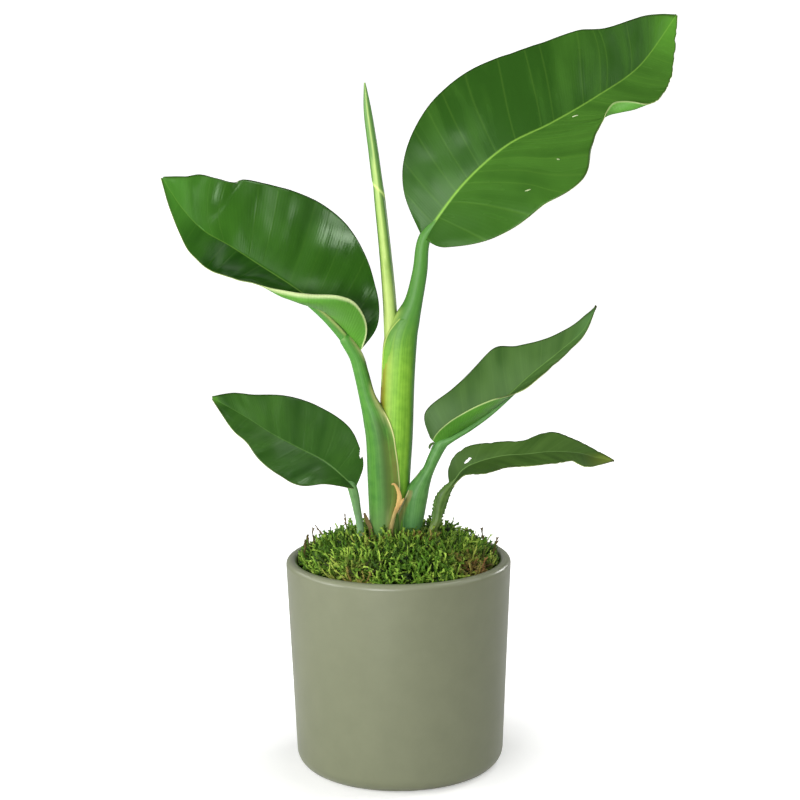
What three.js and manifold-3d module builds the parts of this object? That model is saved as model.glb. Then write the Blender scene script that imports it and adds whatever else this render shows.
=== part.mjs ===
// A young bird of paradise in a round pot: five open leaves, the next leaf still rolled up
// between them, soil with a mound of moss, and two dried scraps of old leaf sheath.
// Millimetres, +Z up, origin at the centre of the pot's base, -Y to the front.

import * as THREE from 'three';
import { mergeVertices } from 'three/addons/utils/BufferGeometryUtils.js';
import Module from 'manifold-3d';

const wasm = await Module();
wasm.setup();

// Pot
const POT_HEIGHT = 156;
const POT_RIM_RADIUS = 82.5;
const POT_BASE_RADIUS = 76;
const POT_WALL = 8;
const POT_FLOOR = 10;
const POT_FOOT_ROUND = 12;
const POT_FLOOR_BEVEL = 2;
const POT_RIM_OUTER_ROUND = 4;
const POT_RIM_INNER_ROUND = 3;
const POT_SIDES = 40;

// Soil and moss
const SOIL_EDGE_HEIGHT = 144;
const SOIL_CENTRE_HEIGHT = 160;
const MOSS_EDGE_HEIGHT = 153;
const MOSS_CENTRE_HEIGHT = 174;
const MOUND_STEEPNESS = 2.4;
const MOUND_SIDES = 36;
const MOUND_STEPS = 3;
const MOSS_RINGS = 8;
const MOSS_RELIEF = 2.4;
const MOSS_FACET_TURN = 0.42;
const STRAND_COUNT = 130;
const STRAND_LENGTH = 13;
const STRAND_RADII = [2, 1.7, 0.5];
const STRAND_SINK = 2;
const STRAND_SPREAD = 0.97;
const STRAND_LEAN = { sideways: 0.9, outwards: 0.3, upwards: 0.8 };
const STRAND_CURL = { sideways: 0.6, down: 0.3 };
const STRAND_SEED = 5;

// Leaves
const CLEARANCE = 0.35;
const BLADE_THICKNESS = 0.8;
const VEIN_SWEEP = 1.45;
const NARROWEST_BLADE = 0.7;
const SHARPEST_MITRE = 0.55;
const RIB_START = -0.02;
const RIB_END = 0.88;
const RIB_TAPER = 1.2;
const RIB_SINK = 0.3;
const RIB_STEPS = 12;
const RIB_SIDES = 6;
const STALK_SIDES = 11;
const SCRAP_SIDES = 8;

const LEFT = -1;
const RIGHT = 1;

const finish = (color, roughness) => new THREE.MeshStandardMaterial({ color, roughness, metalness: 0 });
const FINISHES = {
  clay: finish(0x8a8e76, 0.62),
  soil: finish(0x3a291d, 0.95),
  moss: finish(0x6a8f2c, 0.9),
  leaf: finish(0x2f6d24, 0.4),
  rolledLeaf: finish(0xa9c878, 0.45),
  drySheath: finish(0xc9964f, 0.8),
};

// Every leaf is a flat pattern bent round its rib. The rib runs through points in space, and
// face says which way the upper side looks along it. A margin is a list of places in the flat
// pattern: millimetres along the rib and millimetres out from it. A lift is the angle at which
// the blade rises beside the rib and at lift width from it. A stalk is a list of stations:
// x, y, z, half width and half depth. A roll turns the margin strip up where it lies.
const LEAVES = {
  upper_right: {
    rib: [[20, 0, 390], [47, -6, 427], [78, -10, 455], [110, -10, 471], [142, -6, 489], [173, 2, 510],
      [200, 14, 545]],
    face: [[-0.25, -0.85, 0.45], [-0.25, -0.85, 0.45], [-0.2, -0.9, 0.4]],
    left: {
      margin: [[0, 2], [18, 31], [41, 50], [70, 63], [101, 64], [145, 57], [191, 44], [230, 21], [246, 0]],
      lift: [[20, 5], [15, -5], [15, 0], [10, 10]],
    },
    right: {
      margin: [[0, 2], [7, 23], [38, 53], [90, 64], [121, 63], [137, 40], [150, 27], [164, 28], [181, 39],
        [196, 33], [214, 20], [245, 1]],
      lift: [[20, 15], [18, 12], [15, 8], [15, 15], [18, 20], [18, 30], [15, 40], [15, 30], [10, 20]],
      roll: { centre: 167, spread: 12, strip: 9, degrees: 150 },
    },
    liftWidth: 62,
    ribHalf: [4.2, 3.6],
    rows: 24,
    columns: 5,
    stalk: [[-6, 4, 132, 9, 8], [-4.6, 4, 175, 11, 10], [-2.7, 4, 223, 12.4, 11], [-1, 4, 248, 12.4, 11],
      [0.6, 3.5, 284, 12.1, 10.5], [2.8, 3, 315, 12, 9.5], [7.7, 2, 331, 9.4, 7.5], [12.7, 1, 345, 6.5, 6],
      [17.2, 1, 366, 5.4, 5], [20.5, 2, 389, 4.6, 4.4]],
    tears: [
      { side: RIGHT, t: 0.86, v: 1, length: 4, width: 3 },
      { side: RIGHT, t: 0.91, v: 1, length: 4, width: 2.5 },
    ],
  },
  upper_left: {
    rib: [[-26, -2, 310], [-40, -5, 328], [-56, -9, 344], [-75, -14, 359], [-95, -19, 373], [-116, -25, 388],
      [-135, -28, 400], [-150, -29, 417], [-162, -26, 436]],
    face: [[0.65, -0.25, 0.72], [0.45, -0.5, 0.72], [0.25, -0.72, 0.65], [0.1, -0.8, 0.6]],
    left: {
      margin: [[0, 2], [12, 19], [33, 40], [47, 45], [62, 40], [78, 32], [96, 25], [113, 27], [128, 29], [143, 22],
        [162, 11], [191, 1]],
      lift: [[70, 95], [30, 110], [-5, 120], [-5, 70], [0, 20], [0, 15], [5, 10]],
      roll: { centre: 72, spread: 22, strip: 8, degrees: 90 },
    },
    right: {
      margin: [[0, 2], [6, 20], [25, 40], [39, 56], [57, 74], [76, 77], [102, 68], [134, 52], [175, 29], [184, 14],
        [191, 1]],
      lift: [[75, 80], [50, 30], [30, 10], [20, 5], [15, 0], [10, 0], [5, 5]],
    },
    liftWidth: 60,
    ribHalf: [4.4, 4],
    rows: 23,
    columns: 5,
    stalk: [[-10, -2, 134, 9, 8], [-9.7, -2, 176, 11, 9.5], [-10.4, -2, 214, 11.6, 9.5], [-12.3, -2, 243, 10.5, 9],
      [-15.7, -2, 259, 9.1, 8], [-21.3, -2, 275, 6.1, 6], [-25.3, -2, 291.5, 5.4, 5.2], [-29, -2, 305, 5.2, 5],
      [-36, -3, 317, 4.6, 4.6]],
    tears: [],
  },
  middle_right: {
    rib: [[28, 0, 240], [55, -8, 257], [75, -12, 273], [95, -14, 292], [117, -14, 310], [133, -12, 324],
      [143, -8, 341]],
    face: [[-0.45, -0.35, 0.8], [-0.45, -0.5, 0.75], [-0.4, -0.6, 0.7]],
    left: {
      margin: [[-2, 6], [4, 24], [30, 30], [59, 35], [80, 36], [93, 24], [116, 13], [141, 7], [157, 0]],
      lift: [[60, 50], [40, 20], [30, 10], [20, 10]],
    },
    right: {
      margin: [[1, 6], [12, 13], [32, 19], [55, 20], [74, 15], [90, 9], [104, 6], [118, 5], [136, 3], [156, 0]],
      lift: [[70, 100], [50, 110], [30, 100], [-10, 50], [-20, 10], [0, 20]],
    },
    liftWidth: 38,
    ribHalf: [3, 2.6],
    rows: 18,
    columns: 4,
    stalk: [[9.5, -1, 136, 5.5, 5.5], [10.4, -1, 174, 6.5, 7], [11.6, -1, 186.5, 7.5, 8], [13.9, -1, 203, 8.3, 8],
      [18.7, -1, 214, 5.8, 6], [22.4, -1, 221, 4.3, 4.8], [26.5, 0, 230, 4.4, 4.4], [32, 0, 240, 4.6, 4.2]],
    tears: [],
  },
  lower_right: {
    rib: [[39, -4, 209], [47, -8, 222], [59, -12, 229], [76, -16, 234], [93, -20, 236], [110, -22, 238],
      [129, -22, 237], [143, -20, 233], [156, -18, 230]],
    face: [[-0.4, -0.6, 0.7], [-0.1, -0.6, 0.75], [0, -0.6, 0.8], [0.2, -0.6, 0.75]],
    left: {
      margin: [[0, 2], [10, 9], [24, 14], [43, 12], [62, 11], [84, 16], [101, 10], [118, 5], [130, 1]],
      lift: [[40, 30], [20, 10], [20, 10], [20, 0]],
    },
    right: {
      margin: [[4, 8], [21, 14], [36, 21], [52, 17], [68, 15], [86, 15], [97, 11], [109, 15], [130, 0]],
      lift: [[40, 40], [20, 20], [15, 10], [20, 10]],
    },
    liftWidth: 22,
    ribHalf: [2, 1.8],
    rows: 20,
    columns: 3,
    stalk: [[22, -6, 138, 2.8, 2.8], [24.6, -6, 174, 3.3, 3], [28.7, -5, 184.5, 2.9, 2.6], [30.2, -4, 194, 3.5, 2.6],
      [33.2, -4, 203, 3.9, 2.4], [38.7, -3, 210, 2.4, 2.2]],
    tears: [{ side: LEFT, t: 0.16, v: 0.45, length: 5, width: 2 }],
  },
  lower_left: {
    rib: [[-31, -14, 211], [-51, -20, 231], [-70, -26, 243], [-89, -32, 255], [-107, -36, 268], [-130, -38, 282]],
    face: [[0.4, -0.7, 0.6], [0.2, -0.75, 0.6], [0.1, -0.75, 0.6]],
    left: {
      margin: [[1, 2], [20, 16], [43, 29], [60, 29], [75, 25], [88, 18], [104, 14], [125, 1]],
      lift: [[20, 20], [10, 5], [5, 0], [5, 0]],
    },
    right: {
      margin: [[0, 2], [6, 16], [18, 25], [33, 33], [56, 35], [81, 29], [101, 17], [114, 11], [126, 1]],
      lift: [[35, 20], [20, 5], [15, 0], [10, 0]],
    },
    liftWidth: 42,
    ribHalf: [2.6, 2.2],
    rows: 18,
    columns: 3,
    stalk: [[-26.5, -8, 138, 2.6, 2.6], [-27.2, -8, 174, 2.8, 2.8], [-28.1, -9, 184, 2.6, 2.6],
      [-29.8, -11, 194.5, 2.9, 2.8], [-31.4, -12.5, 204.6, 3.4, 3], [-34, -13, 213, 3.4, 2.6]],
    tears: [{ side: RIGHT, t: 0.3, v: 0.97, length: 7, width: 5 }],
  },
};

// The rolled leaf overlaps itself along a seam, which winds round it once near the top.
const ROLLED_LEAF = {
  stations: [[-4.6, 4, 170, 4.2, 4.2], [-3.5, 4, 247, 5.1, 5.1], [-2.8, 3.5, 284, 5.1, 5.1], [-4, 3, 315, 5.2, 5.2],
    [-5, 3, 345, 5.1, 5.1], [-7.7, 2, 381, 4.6, 4.6], [-11.1, 1, 417, 4.2, 4.2], [-12.5, 1, 430, 4, 4],
    [-15.5, 0.5, 455, 3.7, 3.7], [-18.8, 0, 480, 3, 3], [-20.8, 0, 500, 0.7, 0.7]],
  seamTurns: [1, 1, 1, 1, 1, 1, 0.98, 0.55, 0.5, 0.5, 0.5],
  overlap: 0.14,
};

const DRY_SHEATHS = {
  dry_sheath_front: [[-6, -12, 150, 1.5, 0.7], [-4, -12.6, 178, 1.5, 0.7], [-1.8, -12.6, 192, 2, 0.7],
    [0.7, -12, 199.4, 2.6, 0.7], [1.5, -12.4, 206.8, 3, 0.7], [-1, -14.5, 213, 1.3, 0.7]],
  dry_sheath_left: [[-18.8, -12, 156, 1.6, 0.7], [-20, -9, 178, 1.7, 0.7], [-22.8, -7.5, 184.5, 2.3, 0.7],
    [-25.4, -6.5, 191.5, 1, 0.7]],
};

// A uniform Catmull-Rom spline through lists of numbers, for places, angles and radii alike.
function spline(points, t) {
  const last = points.length - 1;
  const place = Math.min(Math.max(t, 0), 1) * last;
  const start = Math.min(Math.floor(place), last - 1);
  const u = place - start;
  const before = points[Math.max(start - 1, 0)];
  const after = points[Math.min(start + 2, last)];
  return points[start].map((p1, i) => {
    const p2 = points[start + 1][i];
    const v1 = (p2 - before[i]) / 2;
    const v2 = (after[i] - p1) / 2;
    return ((2 * p1 - 2 * p2 + v1 + v2) * u + (-3 * p1 + 3 * p2 - 2 * v1 - v2)) * u * u + v1 * u + p1;
  });
}

function seededRandom(seed) {
  let state = seed;
  return () => {
    state = (state * 1664525 + 1013904223) % 4294967296;
    return state / 4294967296;
  };
}

function solidFrom(points, triangles) {
  const vertProperties = new Float32Array(points.flatMap((p) => [p.x, p.y, p.z]));
  const triVerts = new Uint32Array(triangles.flat());
  return new wasm.Manifold(new wasm.Mesh({ numProp: 3, vertProperties, triVerts }));
}

// A geometry with its doubled vertices merged and its collapsed triangles left out.
function solidFromGeometry(geometry) {
  geometry.deleteAttribute('normal');
  geometry.deleteAttribute('uv');
  const welded = mergeVertices(geometry, 1e-3);
  const position = welded.getAttribute('position');
  const points = Array.from({ length: position.count }, (_, i) => (
    new THREE.Vector3().fromBufferAttribute(position, i)
  ));
  const triangles = [];
  for (let i = 0; i < welded.index.count; i += 3) {
    const corners = [0, 1, 2].map((k) => welded.index.getX(i + k));
    if (new Set(corners).size === 3) triangles.push(corners);
  }
  return solidFrom(points, triangles);
}

function largestPart(solid) {
  return solid.decompose().reduce((best, part) => (part.volume() > best.volume() ? part : best));
}

// A closed body through rings of equally many points, anticlockwise as seen from the last ring.
function loft(rings) {
  const count = rings[0].length;
  const last = (rings.length - 1) * count;
  const triangles = [];
  for (let i = 0; i < rings.length - 1; i += 1) {
    for (let j = 0; j < count; j += 1) {
      const a = i * count + j;
      const b = i * count + ((j + 1) % count);
      triangles.push([a, b, b + count], [a, b + count, a + count]);
    }
  }
  for (let j = 1; j < count - 1; j += 1) {
    triangles.push([0, j + 1, j], [last, last + j, last + j + 1]);
  }
  return solidFrom(rings.flat(), triangles);
}

// An oval section swept through stations of x, y, z, half width and half depth.
function stalk(stations, sides, grow = 0, shape = () => 1) {
  const steps = stations.length * 2;
  const rings = [];
  for (let i = 0; i <= steps; i += 1) {
    const t = i / steps;
    const [x, y, z, halfWidth, halfDepth] = spline(stations, t);
    const [x0, y0, z0] = spline(stations, t - 0.01);
    const [x1, y1, z1] = spline(stations, t + 0.01);
    const along = new THREE.Vector3(x1 - x0, y1 - y0, z1 - z0).normalize();
    const depth = new THREE.Vector3(0, 1, 0).addScaledVector(along, -along.y).normalize();
    const width = depth.clone().cross(along);
    const shift = (i === steps ? grow : 0) - (i === 0 ? grow : 0);
    const centre = new THREE.Vector3(x, y, z).addScaledVector(along, shift);
    rings.push(Array.from({ length: sides }, (_, j) => {
      const turn = j / sides;
      const size = shape(t, turn);
      return centre.clone()
        .addScaledVector(width, (halfWidth * size + grow) * Math.cos(turn * 2 * Math.PI))
        .addScaledVector(depth, (halfDepth * size + grow) * Math.sin(turn * 2 * Math.PI));
    }));
  }
  return loft(rings);
}

class Leaf {
  constructor(plan) {
    this.plan = plan;
    this.curve = Array.from({ length: 201 }, (_, i) => new THREE.Vector3(...spline(plan.rib, i / 200)));
    this.distance = [0];
    for (let i = 1; i < this.curve.length; i += 1) {
      this.distance.push(this.distance[i - 1] + this.curve[i].distanceTo(this.curve[i - 1]));
    }
    this.length = this.distance[200];
  }

  pointOnRib(along) {
    const i = Math.min(Math.max(this.distance.findIndex((d) => d >= along), 1), 200);
    const share = (along - this.distance[i - 1]) / (this.distance[i] - this.distance[i - 1]);
    return this.curve[i - 1].clone().lerp(this.curve[i], share);
  }

  // Place, direction, face and across at a place along the rib, which runs on straight past its ends.
  frame(along) {
    const reach = this.length * 0.02;
    const inside = Math.min(Math.max(along, 0), this.length);
    const from = Math.min(Math.max(along - reach, 0), this.length - reach);
    const to = Math.min(Math.max(along + reach, reach), this.length);
    const direction = this.pointOnRib(to).sub(this.pointOnRib(from)).normalize();
    const face = new THREE.Vector3(...spline(this.plan.face, inside / this.length));
    face.addScaledVector(direction, -face.dot(direction)).normalize();
    const across = direction.clone().cross(face);
    const place = this.pointOnRib(inside).addScaledVector(direction, along - inside);
    return { place, direction, face, across };
  }

  half(side) {
    return side === LEFT ? this.plan.left : this.plan.right;
  }

  // The place in space of a point of the flat pattern, on the blade's upper side.
  bend(along, out, side, marginOut) {
    const { lift, roll } = this.half(side);
    const { place, face, across } = this.frame(along);
    const share = Math.min(Math.max(along / this.length, 0), 1);
    const [atRib, atWidth] = spline(lift, share).map(THREE.MathUtils.degToRad);
    const curl = (atWidth - atRib) / this.plan.liftWidth || 1e-9;
    const walk = (angle, bending, distance) => {
      const end = angle + bending * distance;
      place.addScaledVector(across, side * (Math.sin(end) - Math.sin(angle)) / bending);
      place.addScaledVector(face, (Math.cos(angle) - Math.cos(end)) / bending);
      return end;
    };
    const flat = roll ? Math.max(marginOut - roll.strip, 0) : Infinity;
    const edge = walk(atRib, curl, Math.min(out, flat));
    if (out > flat) {
      const strength = Math.exp(-(((along - roll.centre) / roll.spread) ** 2));
      walk(edge, curl + (THREE.MathUtils.degToRad(roll.degrees) / roll.strip) * strength, out - flat);
    }
    return place;
  }

  // t runs from the blade's foot to its tip, v from the rib to the margin along a side vein.
  at(t, v, side) {
    const [marginAlong, marginWidth] = spline(this.half(side).margin, t);
    const marginOut = Math.max(marginWidth, NARROWEST_BLADE);
    const foot = this.length * t ** VEIN_SWEEP;
    return this.bend(foot + (marginAlong - foot) * v, marginOut * v, side, marginOut);
  }

  blade() {
    const { rows: steps, columns } = this.plan;
    const rows = steps + 1;
    const count = columns * 2 + 1;
    const upper = [];
    for (let i = 0; i < rows; i += 1) {
      for (let j = -columns; j <= columns; j += 1) {
        upper.push(this.at(i / steps, Math.abs(j) / columns, j < 0 ? LEFT : RIGHT));
      }
    }
    const lower = upper.map((place, k) => {
      const [i, j] = [Math.floor(k / count), k % count];
      const normals = [[1, 1], [-1, 1], [-1, -1], [1, -1]]
        .filter(([di, dj]) => i + di >= 0 && i + di < rows && j + dj >= 0 && j + dj < count)
        .map(([di, dj]) => {
          const onwards = upper[k + di * count].clone().sub(place).multiplyScalar(di);
          const outwards = upper[k + dj].clone().sub(place).multiplyScalar(dj);
          return outwards.cross(onwards).normalize();
        });
      const mean = normals.reduce((sum, normal) => sum.add(normal), new THREE.Vector3()).normalize();
      const mitre = Math.max(Math.min(...normals.map((normal) => normal.dot(mean))), SHARPEST_MITRE);
      return place.clone().addScaledVector(mean, -BLADE_THICKNESS / mitre);
    });
    const under = rows * count;
    const triangles = [];
    for (let i = 0; i < rows - 1; i += 1) {
      for (let j = 0; j < count - 1; j += 1) {
        const a = i * count + j;
        const [b, c, d] = [a + 1, a + count + 1, a + count];
        triangles.push([a, b, c], [a, c, d], [under + a, under + c, under + b], [under + a, under + d, under + c]);
      }
      const left = i * count;
      const right = left + count - 1;
      triangles.push([left, left + count, under + left + count], [left, under + left + count, under + left]);
      triangles.push([right, under + right + count, right + count], [right, under + right, under + right + count]);
    }
    for (let j = 0; j < count - 1; j += 1) {
      const tip = (rows - 1) * count + j;
      triangles.push([j + 1, j, under + j], [j + 1, under + j, under + j + 1]);
      triangles.push([tip, tip + 1, under + tip + 1], [tip, under + tip + 1, under + tip]);
    }
    return solidFrom([...upper, ...lower], triangles);
  }

  // The rib stands out below the blade and grows thinner towards the tip.
  rib() {
    const [halfWidth, halfDepth] = this.plan.ribHalf;
    const rings = [];
    for (let i = 0; i <= RIB_STEPS; i += 1) {
      const share = RIB_START + ((RIB_END - RIB_START) * i) / RIB_STEPS;
      const taper = (1 - Math.max(share, 0)) ** RIB_TAPER;
      const { place, face, across } = this.frame(share * this.length);
      place.addScaledVector(face, -RIB_SINK - halfDepth * taper);
      rings.push(Array.from({ length: RIB_SIDES }, (_, j) => {
        const angle = (j / RIB_SIDES) * 2 * Math.PI;
        return place.clone()
          .addScaledVector(face, halfDepth * taper * Math.cos(angle))
          .addScaledVector(across, halfWidth * taper * Math.sin(angle));
      }));
    }
    return loft(rings);
  }

  // A tear is a narrow oval hole along a side vein, or a bite where it reaches the margin.
  tear({ side, t, v, length, width }) {
    const centre = this.at(t, Math.min(v, 0.99), side);
    const vein = centre.clone().sub(this.at(t, v - 0.1, side)).normalize();
    const face = this.frame(this.length * t).face;
    const beside = face.clone().cross(vein).normalize();
    const shape = new THREE.SphereGeometry(1, 8, 6);
    shape.scale(length / 2, width / 2, width);
    shape.applyMatrix4(new THREE.Matrix4().makeBasis(vein, beside, vein.clone().cross(beside)).setPosition(centre));
    return solidFromGeometry(shape);
  }

  solid() {
    const body = this.blade().add(this.rib()).add(stalk(this.plan.stalk, STALK_SIDES));
    return this.plan.tears.reduce((leaf, tear) => leaf.subtract(this.tear(tear)), body);
  }
}

function arc(x, z, radius, from, to, steps) {
  return Array.from({ length: steps + 1 }, (_, i) => {
    const angle = THREE.MathUtils.degToRad(from + ((to - from) * i) / steps);
    return [x + radius * Math.cos(angle), z + radius * Math.sin(angle)];
  });
}

// A body of revolution from pairs of radius and height, which start and end on the axis.
function turned(profile, sides) {
  const geometry = new THREE.LatheGeometry(profile.map(([x, z]) => new THREE.Vector2(x, z)), sides);
  geometry.rotateX(Math.PI / 2);
  return solidFromGeometry(geometry);
}

function potRadius(height) {
  return POT_BASE_RADIUS + ((POT_RIM_RADIUS - POT_BASE_RADIUS) * height) / POT_HEIGHT;
}

function pot() {
  const rimInside = POT_RIM_RADIUS - POT_WALL;
  return turned([
    [0, 0],
    ...arc(POT_BASE_RADIUS - POT_FOOT_ROUND, POT_FOOT_ROUND, POT_FOOT_ROUND, -90, 0, 4),
    ...arc(POT_RIM_RADIUS - POT_RIM_OUTER_ROUND, POT_HEIGHT - POT_RIM_OUTER_ROUND, POT_RIM_OUTER_ROUND, 0, 90, 3),
    ...arc(rimInside + POT_RIM_INNER_ROUND, POT_HEIGHT - POT_RIM_INNER_ROUND, POT_RIM_INNER_ROUND, 90, 180, 2),
    [potRadius(POT_FLOOR) - POT_WALL - POT_FLOOR_BEVEL, POT_FLOOR],
    [0, POT_FLOOR],
  ], POT_SIDES);
}

// Heights of the soil and of the moss mat's core over the distance from the pot's axis.
function mound(edgeHeight, centreHeight, radius, share) {
  return [radius * share, centreHeight + (edgeHeight - centreHeight) * share ** MOUND_STEEPNESS];
}

function moundProfile(edgeHeight, centreHeight, radius, steps) {
  return Array.from({ length: steps + 1 }, (_, i) => mound(edgeHeight, centreHeight, radius, 1 - i / steps));
}

const mouthRadius = potRadius(SOIL_EDGE_HEIGHT) - POT_WALL - CLEARANCE * 2;

function soil(stalks) {
  const body = turned([
    [0, POT_FLOOR + CLEARANCE],
    [potRadius(POT_FLOOR) - POT_WALL - POT_FLOOR_BEVEL - CLEARANCE * 2, POT_FLOOR + CLEARANCE],
    ...moundProfile(SOIL_EDGE_HEIGHT, SOIL_CENTRE_HEIGHT, mouthRadius, MOUND_STEPS),
  ], MOUND_SIDES);
  return largestPart(stalks.reduce((ball, hole) => ball.subtract(hole), body));
}

// The mat's knobbly top: waves of two lengths across each other.
function relief(x, y) {
  return MOSS_RELIEF * Math.sin(0.83 * x + 2 * Math.sin(0.41 * y)) * Math.cos(0.77 * y + 2 * Math.sin(0.37 * x));
}

function mossRing([radius, height], heightAt) {
  return Array.from({ length: MOUND_SIDES }, (_, i) => {
    const angle = ((i + MOSS_FACET_TURN) / MOUND_SIDES) * 2 * Math.PI;
    const [x, y] = [radius * Math.cos(angle), radius * Math.sin(angle)];
    return new THREE.Vector3(x, y, height + heightAt(x, y));
  });
}

// The mat's core reaches past the space between soil and pot, to which it is then trimmed.
function mossCore() {
  const floor = SOIL_EDGE_HEIGHT - 5;
  const edge = mouthRadius + 1;
  const top = moundProfile(MOSS_EDGE_HEIGHT, MOSS_CENTRE_HEIGHT, edge, MOSS_RINGS).slice(0, -1);
  return loft([
    mossRing([1, floor], () => 0),
    mossRing([edge, floor], () => 0),
    ...top.map((place) => mossRing(place, relief)),
    mossRing([1, MOSS_CENTRE_HEIGHT], relief),
  ]);
}

// A moss strand: three sides, bent once, rooted in the mat.
function mossStrand(root, lean, curl) {
  const way = lean.clone();
  const centre = root.clone();
  const width = new THREE.Vector3(way.y, -way.x, 0.1).normalize();
  const rings = STRAND_RADII.map((radius, i) => {
    if (i > 0) centre.addScaledVector(way, STRAND_LENGTH / 2);
    width.addScaledVector(way, -width.dot(way)).normalize();
    const depth = way.clone().cross(width);
    const ring = [0, 1, 2].map((j) => centre.clone()
      .addScaledVector(width, radius * Math.cos((j * 2 * Math.PI) / 3))
      .addScaledVector(depth, radius * Math.sin((j * 2 * Math.PI) / 3)));
    way.add(curl).normalize();
    return ring;
  });
  return loft(rings);
}

// Strands stand all over the mat, leaning out, and those by the rim leaning in.
function mossMat(stalks) {
  const random = seededRandom(STRAND_SEED);
  const either = (reach) => (random() * 2 - 1) * reach;
  const goldenAngle = Math.PI * (3 - Math.sqrt(5));
  const strands = [];
  for (let i = 0; i < STRAND_COUNT; i += 1) {
    const share = Math.sqrt((i + 0.5) / STRAND_COUNT) * STRAND_SPREAD;
    const [distance, height] = mound(MOSS_EDGE_HEIGHT, MOSS_CENTRE_HEIGHT, mouthRadius, share);
    const bearing = i * goldenAngle + random();
    const outwards = new THREE.Vector3(Math.cos(bearing), Math.sin(bearing), 0);
    const root = outwards.clone().multiplyScalar(distance).setZ(height - STRAND_SINK);
    const { sideways, upwards } = STRAND_LEAN;
    const lean = new THREE.Vector3(either(sideways), either(sideways), upwards)
      .addScaledVector(outwards, share > 0.85 ? -STRAND_LEAN.outwards : STRAND_LEAN.outwards);
    const { sideways: turn, down } = STRAND_CURL;
    const curl = new THREE.Vector3(either(turn), either(turn), -random() * down);
    strands.push(mossStrand(root, lean.normalize(), curl));
  }
  const space = turned([
    ...moundProfile(SOIL_EDGE_HEIGHT + CLEARANCE, SOIL_CENTRE_HEIGHT + CLEARANCE, mouthRadius, MOUND_STEPS)
      .reverse(),
    [mouthRadius, POT_HEIGHT * 2],
    [0, POT_HEIGHT * 2],
  ], MOUND_SIDES);
  const tuft = wasm.Manifold.union([mossCore(), ...strands]).intersect(space);
  return largestPart(stalks.reduce((mat, hole) => mat.subtract(hole), tuft));
}

function rolledLeafShape(t, turn) {
  const { seamTurns, overlap } = ROLLED_LEAF;
  const [seam] = spline(seamTurns.map((value) => [value]), t);
  const past = (((turn - seam) % 1) + 1) % 1;
  return 1 - overlap * past;
}

const rolledLeaf = stalk(ROLLED_LEAF.stations, STALK_SIDES, 0, rolledLeafShape);
const leafSolids = Object.fromEntries(
  Object.entries(LEAVES).map(([name, plan]) => [name, new Leaf(plan).solid()]),
);
const grownStalk = (name) => stalk(LEAVES[name].stalk, STALK_SIDES, CLEARANCE);
const grownRolledLeaf = stalk(ROLLED_LEAF.stations, STALK_SIDES, CLEARANCE);
const grownScraps = Object.values(DRY_SHEATHS).map((stations) => stalk(stations, SCRAP_SIDES, CLEARANCE));

// Each sheath clasps the next one inwards: it is cut where that one stands, with clearance.
leafSolids.upper_right = largestPart(leafSolids.upper_right.subtract(grownRolledLeaf));
leafSolids.upper_left = largestPart(leafSolids.upper_left.subtract(grownStalk('upper_right')));
leafSolids.middle_right = largestPart(
  leafSolids.middle_right.subtract(grownStalk('upper_right')).subtract(grownStalk('upper_left')),
);

const holes = [...Object.keys(LEAVES).map(grownStalk), ...grownScraps];

const plant = new THREE.Group();

function addPiece(name, solid, material) {
  const mesh = solid.getMesh();
  const geometry = new THREE.BufferGeometry();
  geometry.setAttribute('position', new THREE.BufferAttribute(mesh.vertProperties, 3));
  geometry.setIndex(new THREE.BufferAttribute(mesh.triVerts, 1));
  geometry.computeVertexNormals();
  const piece = new THREE.Mesh(geometry, material);
  piece.name = name;
  plant.add(piece);
}

addPiece('pot', pot(), FINISHES.clay);
addPiece('soil', soil(holes), FINISHES.soil);
addPiece('moss', mossMat(holes), FINISHES.moss);
Object.entries(leafSolids).forEach(([name, solid]) => addPiece(`leaf_${name}`, solid, FINISHES.leaf));
addPiece('rolled_leaf', rolledLeaf, FINISHES.rolledLeaf);
Object.entries(DRY_SHEATHS).forEach(([name, stations]) => {
  addPiece(name, stalk(stations, SCRAP_SIDES), FINISHES.drySheath);
});

export default plant;
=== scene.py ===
"""Looks of a young bird of paradise plant in a round matte pot.

Sizes of the plant and pot are millimetres in the classes' fields and turn to metres as the meshes are
made. The studio's are metres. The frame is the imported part's: +Z up, the origin at the centre of the
pot's base, -Y to the front.
"""

import bisect
import logging
import math
import random
from dataclasses import dataclass, field
from enum import Enum

import bmesh
import bpy
from mathutils import Matrix, Vector, noise


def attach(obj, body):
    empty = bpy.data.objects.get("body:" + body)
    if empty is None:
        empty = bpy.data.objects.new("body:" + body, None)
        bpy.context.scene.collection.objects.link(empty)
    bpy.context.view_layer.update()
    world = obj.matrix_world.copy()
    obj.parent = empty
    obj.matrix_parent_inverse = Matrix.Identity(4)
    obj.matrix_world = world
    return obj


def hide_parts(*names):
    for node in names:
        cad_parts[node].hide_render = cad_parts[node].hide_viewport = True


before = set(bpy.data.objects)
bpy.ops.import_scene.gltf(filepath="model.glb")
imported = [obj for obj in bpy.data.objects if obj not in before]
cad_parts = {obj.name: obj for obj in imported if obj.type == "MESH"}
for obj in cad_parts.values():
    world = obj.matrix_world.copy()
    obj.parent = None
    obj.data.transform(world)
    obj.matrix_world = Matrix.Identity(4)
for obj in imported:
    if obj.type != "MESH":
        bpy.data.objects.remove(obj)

log = logging.getLogger("bird_of_paradise")

MM = 0.001
Places = tuple[tuple[float, ...], ...]


def linear(hex_colour: str) -> tuple[float, float, float, float]:
    """Turns an sRGB hex colour to linear RGBA.

    Args:
        hex_colour: The colour as #rrggbb.

    Returns:
        Linear red, green, blue and an alpha of 1.
    """
    channels = [int(hex_colour[i:i + 2], 16) / 255 for i in (1, 3, 5)]
    red, green, blue = (c / 12.92 if c <= 0.04045 else ((c + 0.055) / 1.055) ** 2.4 for c in channels)
    return red, green, blue, 1.0


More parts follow.
